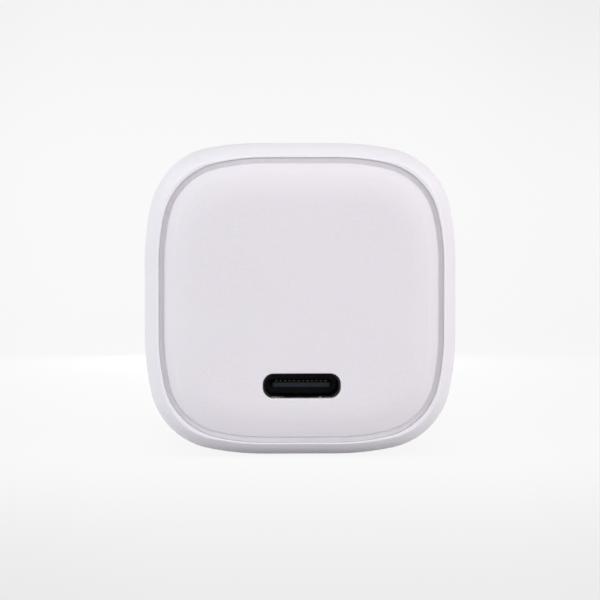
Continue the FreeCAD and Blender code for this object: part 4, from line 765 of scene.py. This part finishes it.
TONGUE_BLACK, TONGUE_FIBRE = (0.004, 0.006, 0.011), (0.010, 0.013, 0.022)
tongue_plastic = Finish("glass-filled tongue", IOR=1.55, Specular_IOR_Level=0.28)
fibres = tongue_plastic.clouds(0.00009, 2.0, 0.5, (0.2, 1.0, 1.0))
tongue_plastic.colour(tongue_plastic.blend(TONGUE_BLACK, TONGUE_FIBRE, fibres.between(0.4, 0.7)))
tongue_plastic.roughness(0.40 + fibres * 0.15)
tongue_plastic.relief((fibres, 0.000003))
tongue_plastic.on("socket_tongue")

# The gold is painted darker than gold plate: painted shade inside the opening, with duller patches.
SHADED_GOLD, SHADED_GOLD_DULL = (0.40, 0.28, 0.12), (0.30, 0.20, 0.08)
contact_gold = Finish("gold flash", Metallic=1.0)
plating = contact_gold.clouds(0.00035, 3.0, 0.6)
contact_gold.colour(contact_gold.blend(SHADED_GOLD, SHADED_GOLD_DULL, plating))
contact_gold.roughness(0.20 + plating * 0.12)
contact_gold.relief((plating, 0.0000008))
contact_gold.on("socket_contacts")


# Rear cover

# The wall side of the case: white polycarbonate, welded into the sleeve's end all round, with the wells
# that the blades fold into and a scoop for the fingertip that lifts them.

WALL_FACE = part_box("rear_cover")[1].y


def rear_polish(made):
    """The wall face is rubbed each time that the case is pushed home."""
    return made.along("Y").between(WALL_FACE - 0.0015, WALL_FACE - 0.0001) * 0.7


def well_dust_and_shade(made):
    """Fluff in patches and painted shade in the wells and the scoop, both darker further in."""
    patches = made.clouds(0.0013, 4.0, 0.65).between(0.4, 0.8)
    depth = made.along("Y").between(WALL_FACE - 0.0009, WALL_FACE - 0.0040)
    return depth * (0.25 + patches * 0.55)


moulding("white rear", SHELL_TINT, gloss=0.44, polish=rear_polish, dust_and_shade=well_dust_and_shade).on("rear_cover")


# Folding plug

# A moulded barrel that turns in the rear cover, with two brass blades, nickel-plated, pressed through
# it; inside are the retainer that closes its bearings, two sprung contacts and the detent leaf.

CARRIAGE_TINT, RETAINER_TINT = (0.70, 0.69, 0.72), (0.035, 0.035, 0.038)
carriage = moulding("grey-white carriage", CARRIAGE_TINT, gloss=0.36, grain=FINE_GRAIN_HEIGHT)
carriage.on("blade_carriage")

NICKEL, WORN_THROUGH = (0.71, 0.69, 0.66), (0.73, 0.66, 0.52)
blade_nickel = Finish("nickel-plated brass", Metallic=1.0)
rolled = blade_nickel.clouds(0.00014, 3.0, 0.6, (1.0, 1.0, 0.03))
rub = hair_lines(blade_nickel, 0.00010, (0.0, 0.0, 0.0), 0.04)
worn = blade_nickel.clouds(0.0032, 4.0, 0.6).between(0.58, 0.78)
blade_nickel.colour(blade_nickel.blend(NICKEL, WORN_THROUGH, worn * 0.5))
blade_nickel.roughness(0.20 + rolled * 0.16 + worn * 0.08 + rub * 0.12)
blade_nickel.relief((rolled, 0.0000012), (rub, -0.0000015))
blade_nickel.on("blade_left", "blade_right")

moulding("black retainer", RETAINER_TINT, gloss=0.46).on("carriage_retainer")

BRONZE, BRONZE_TARNISHED = (0.78, 0.50, 0.32), (0.55, 0.35, 0.23)
bronze = Finish("phosphor bronze", Metallic=1.0)
tarnish = bronze.clouds(0.0011, 4.0, 0.6)
bronze.colour(bronze.blend(BRONZE, BRONZE_TARNISHED, tarnish.between(0.4, 0.8)))
bronze.roughness(0.24 + tarnish * 0.2)
bronze.relief((bronze.clouds(0.0001, 2.0, 0.5, (1.0, 1.0, 0.05)), 0.000001))
bronze.on("contact_left", "contact_right")

SPRING_GREY, SPRING_HEATED = (0.42, 0.43, 0.46), (0.33, 0.32, 0.36)
spring = Finish("spring steel", Metallic=1.0)
heat = spring.clouds(0.0016, 3.0, 0.5)
spring.colour(spring.blend(SPRING_GREY, SPRING_HEATED, heat))
spring.roughness(0.28 + heat * 0.14)
spring.relief((spring.clouds(0.0001, 2.0, 0.5, (0.05, 1.0, 1.0)), 0.000001))
spring.on("detent_spring")


# Floor and backdrop

# One pale sheet that lies just under the case and rises behind it in a wide curve, as in a small studio.
# Its tone is painted light, palest round the case and falling off a little to the corners, and seen from
# below it is clear.

PAPER_FRONT, PAPER_TURN, PAPER_SWEEP = -0.60, 0.22, 0.16
PAPER_HEIGHT, PAPER_HALF_WIDTH, SWEEP_STEPS = 0.70, 0.75, 24
GROUND = -0.00005
profile = [(PAPER_FRONT, GROUND), (PAPER_TURN - 0.05, GROUND)]
for step in range(SWEEP_STEPS + 1):
    turn = math.pi / 2 * step / SWEEP_STEPS
    rise = PAPER_SWEEP * (1 - math.cos(turn))
    profile.append((PAPER_TURN + PAPER_SWEEP * math.sin(turn), GROUND + rise))
profile.append((PAPER_TURN + PAPER_SWEEP, PAPER_HEIGHT))
paper = bpy.data.meshes.new("studio_paper")
paper.from_pydata(
    [(x, y, z) for y, z in profile for x in (-PAPER_HALF_WIDTH, PAPER_HALF_WIDTH)],
    [],
    [(2 * i, 2 * i + 1, 2 * i + 3, 2 * i + 2) for i in range(len(profile) - 1)],
)
for face in paper.polygons:
    face.use_smooth = True
backdrop = bpy.data.objects.new("studio_paper", paper)
bpy.context.scene.collection.objects.link(backdrop)

SEEING_RAYS = ("Camera", "Glossy", "Transmission")
PAPER_TONE, PAPER_FAR_TONE, PAPER_GLOW = (0.966, 0.966, 0.966), (0.800, 0.800, 0.808), 0.92
PAPER_TO_LIGHT, PAPER_TO_EYE = (0.50, 0.50, 0.51), (0.88, 0.88, 0.885)
EYE_PLACE = 0.37


def looked_at(tree):
    """1 for what the camera sees straight, in a reflection or through something clear."""
    rays = tree.node("ShaderNodeLightPath").socket.node.outputs
    straight, shiny, through = (Reading(tree, rays[f"Is {kind} Ray"]) for kind in SEEING_RAYS)
    return straight.maths("MAXIMUM", straight, shiny.maths("MAXIMUM", shiny, through))


sheet = Finish("studio paper", Roughness=0.9)
shown = looked_at(sheet)
sheet.colour(sheet.blend(PAPER_TO_LIGHT, PAPER_TO_EYE, shown))
sheet.relief((sheet.clouds(0.0012, 3.0), 0.00002))
# Painted light: the tone darkens up the sweep, to the sides and towards the front, from its palest round
# the case.
up = sheet.along("Z").between(0.02, 0.11)
aside = (abs(sheet.along("X")) / (sheet.along("Y") + EYE_PLACE)).between(0.05, 0.11)
nearer = sheet.along("Y").between(0.0, -0.15)
painted_falloff = up * (aside * 0.35 + 0.55) + aside * 0.12 + nearer * 0.82
painted_light_tone = sheet.blend(PAPER_TONE, PAPER_FAR_TONE, painted_falloff)
lit = Reading(sheet, sheet.shader.outputs[0])
shine = sheet.node("ShaderNodeEmission", None, {"Color": painted_light_tone, "Strength": 1.0})
front_side = sheet.node("ShaderNodeMixShader", None, {0: shown * PAPER_GLOW, 1: lit, 2: shine})
below = Reading(sheet, sheet.node("ShaderNodeNewGeometry").socket.node.outputs["Backfacing"])
clear = sheet.node("ShaderNodeBsdfTransparent")
whole = sheet.node("ShaderNodeMixShader", None, {0: below, 1: front_side, 2: clear})
sheet.feed(sheet.tree.nodes["Material Output"].inputs["Surface"], whole)
paper.materials.append(sheet.material)


# Lamps

# A wide soft box above and a little in front, one at each side in front, one beside each flank and a
# small low one behind; the room gives a weak even light. The side lamps don't show in the shiny parts.

world = bpy.data.worlds.new("studio")
bpy.context.scene.world = world
world.use_nodes = True
room = Tree()
room.tree = world.node_tree
ROOM_TINT, ROOM_STRENGTH = (0.93, 0.93, 0.95), 0.30
dim = room.node("ShaderNodeBackground", None, {"Color": ROOM_TINT, "Strength": ROOM_STRENGTH})
pale = room.node("ShaderNodeBackground", None, {"Color": PAPER_FAR_TONE, "Strength": 1.0})
around = room.node("ShaderNodeMixShader", None, {0: looked_at(room), 1: dim, 2: pale})
room.feed(world.node_tree.nodes["World Output"].inputs["Surface"], around)


def soft_box(name, place, aim, width, depth, watts, tint):
    """A flat lamp turned to a point. The camera doesn't see it."""
    lamp = bpy.data.lights.new(name, "AREA")
    lamp.shape = "RECTANGLE"
    lamp.size = width
    lamp.size_y = depth
    lamp.energy = watts
    lamp.color = tint
    holder = bpy.data.objects.new(name, lamp)
    holder.location = place
    holder.rotation_euler = (Vector(aim) - Vector(place)).to_track_quat("-Z", "Y").to_euler()
    holder.visible_camera = False
    bpy.context.scene.collection.objects.link(holder)
    return holder


MIDDLE = Vector((0.0, -0.016, 0.0175))
COOL, PLAIN, WARM = (0.950, 0.985, 1.0), (0.975, 1.0, 0.980), (1.0, 0.942, 0.930)
soft_box("top box", (0.0, -0.16, 0.46), MIDDLE, 0.60, 0.40, 1.13, PLAIN)
side_lamps = [
    soft_box("left box", (-0.36, -0.36, 0.08), MIDDLE, 0.26, 0.22, 1.00, COOL),
    soft_box("right box", (0.36, -0.36, 0.08), MIDDLE, 0.26, 0.22, 1.15, WARM),
    soft_box("left strip", (-0.50, -0.06, 0.14), MIDDLE, 0.26, 0.44, 1.04, PLAIN),
    soft_box("right strip", (0.50, -0.06, 0.14), MIDDLE, 0.26, 0.44, 0.96, PLAIN),
]
for lamp in side_lamps:
    lamp.visible_glossy = False
soft_box("rear box", (0.0, 0.15, 0.018), MIDDLE, 0.034, 0.030, 0.047, PLAIN)


# Camera

# Almost square on to the face, a little above it and a little to its left, about 35 cm away. The lens
# is a long one, so that the case's flanks hardly show.

CAMERA_TURN, CAMERA_RISE, CAMERA_AWAY = math.radians(-2.1), math.radians(2.9), 0.350
CAMERA_LENS, AIM = 186.6, Vector((-0.00005, -0.0160, 0.01736))
camera = bpy.data.objects.new("camera", bpy.data.cameras.new("camera"))
bpy.context.scene.collection.objects.link(camera)
back = Vector(
    (
        math.sin(CAMERA_TURN) * math.cos(CAMERA_RISE),
        -math.cos(CAMERA_TURN) * math.cos(CAMERA_RISE),
        math.sin(CAMERA_RISE),
    )
)
camera.location = AIM + back * CAMERA_AWAY
camera.rotation_mode = "QUATERNION"
camera.rotation_quaternion = (-back).to_track_quat("-Z", "Y")
camera.data.sensor_width = 36.0
camera.data.lens = CAMERA_LENS
camera.data.clip_start = 0.01
camera.data.clip_end = 20.0
bpy.context.scene.camera = camera
bpy.context.scene.view_settings.view_transform = "Standard"
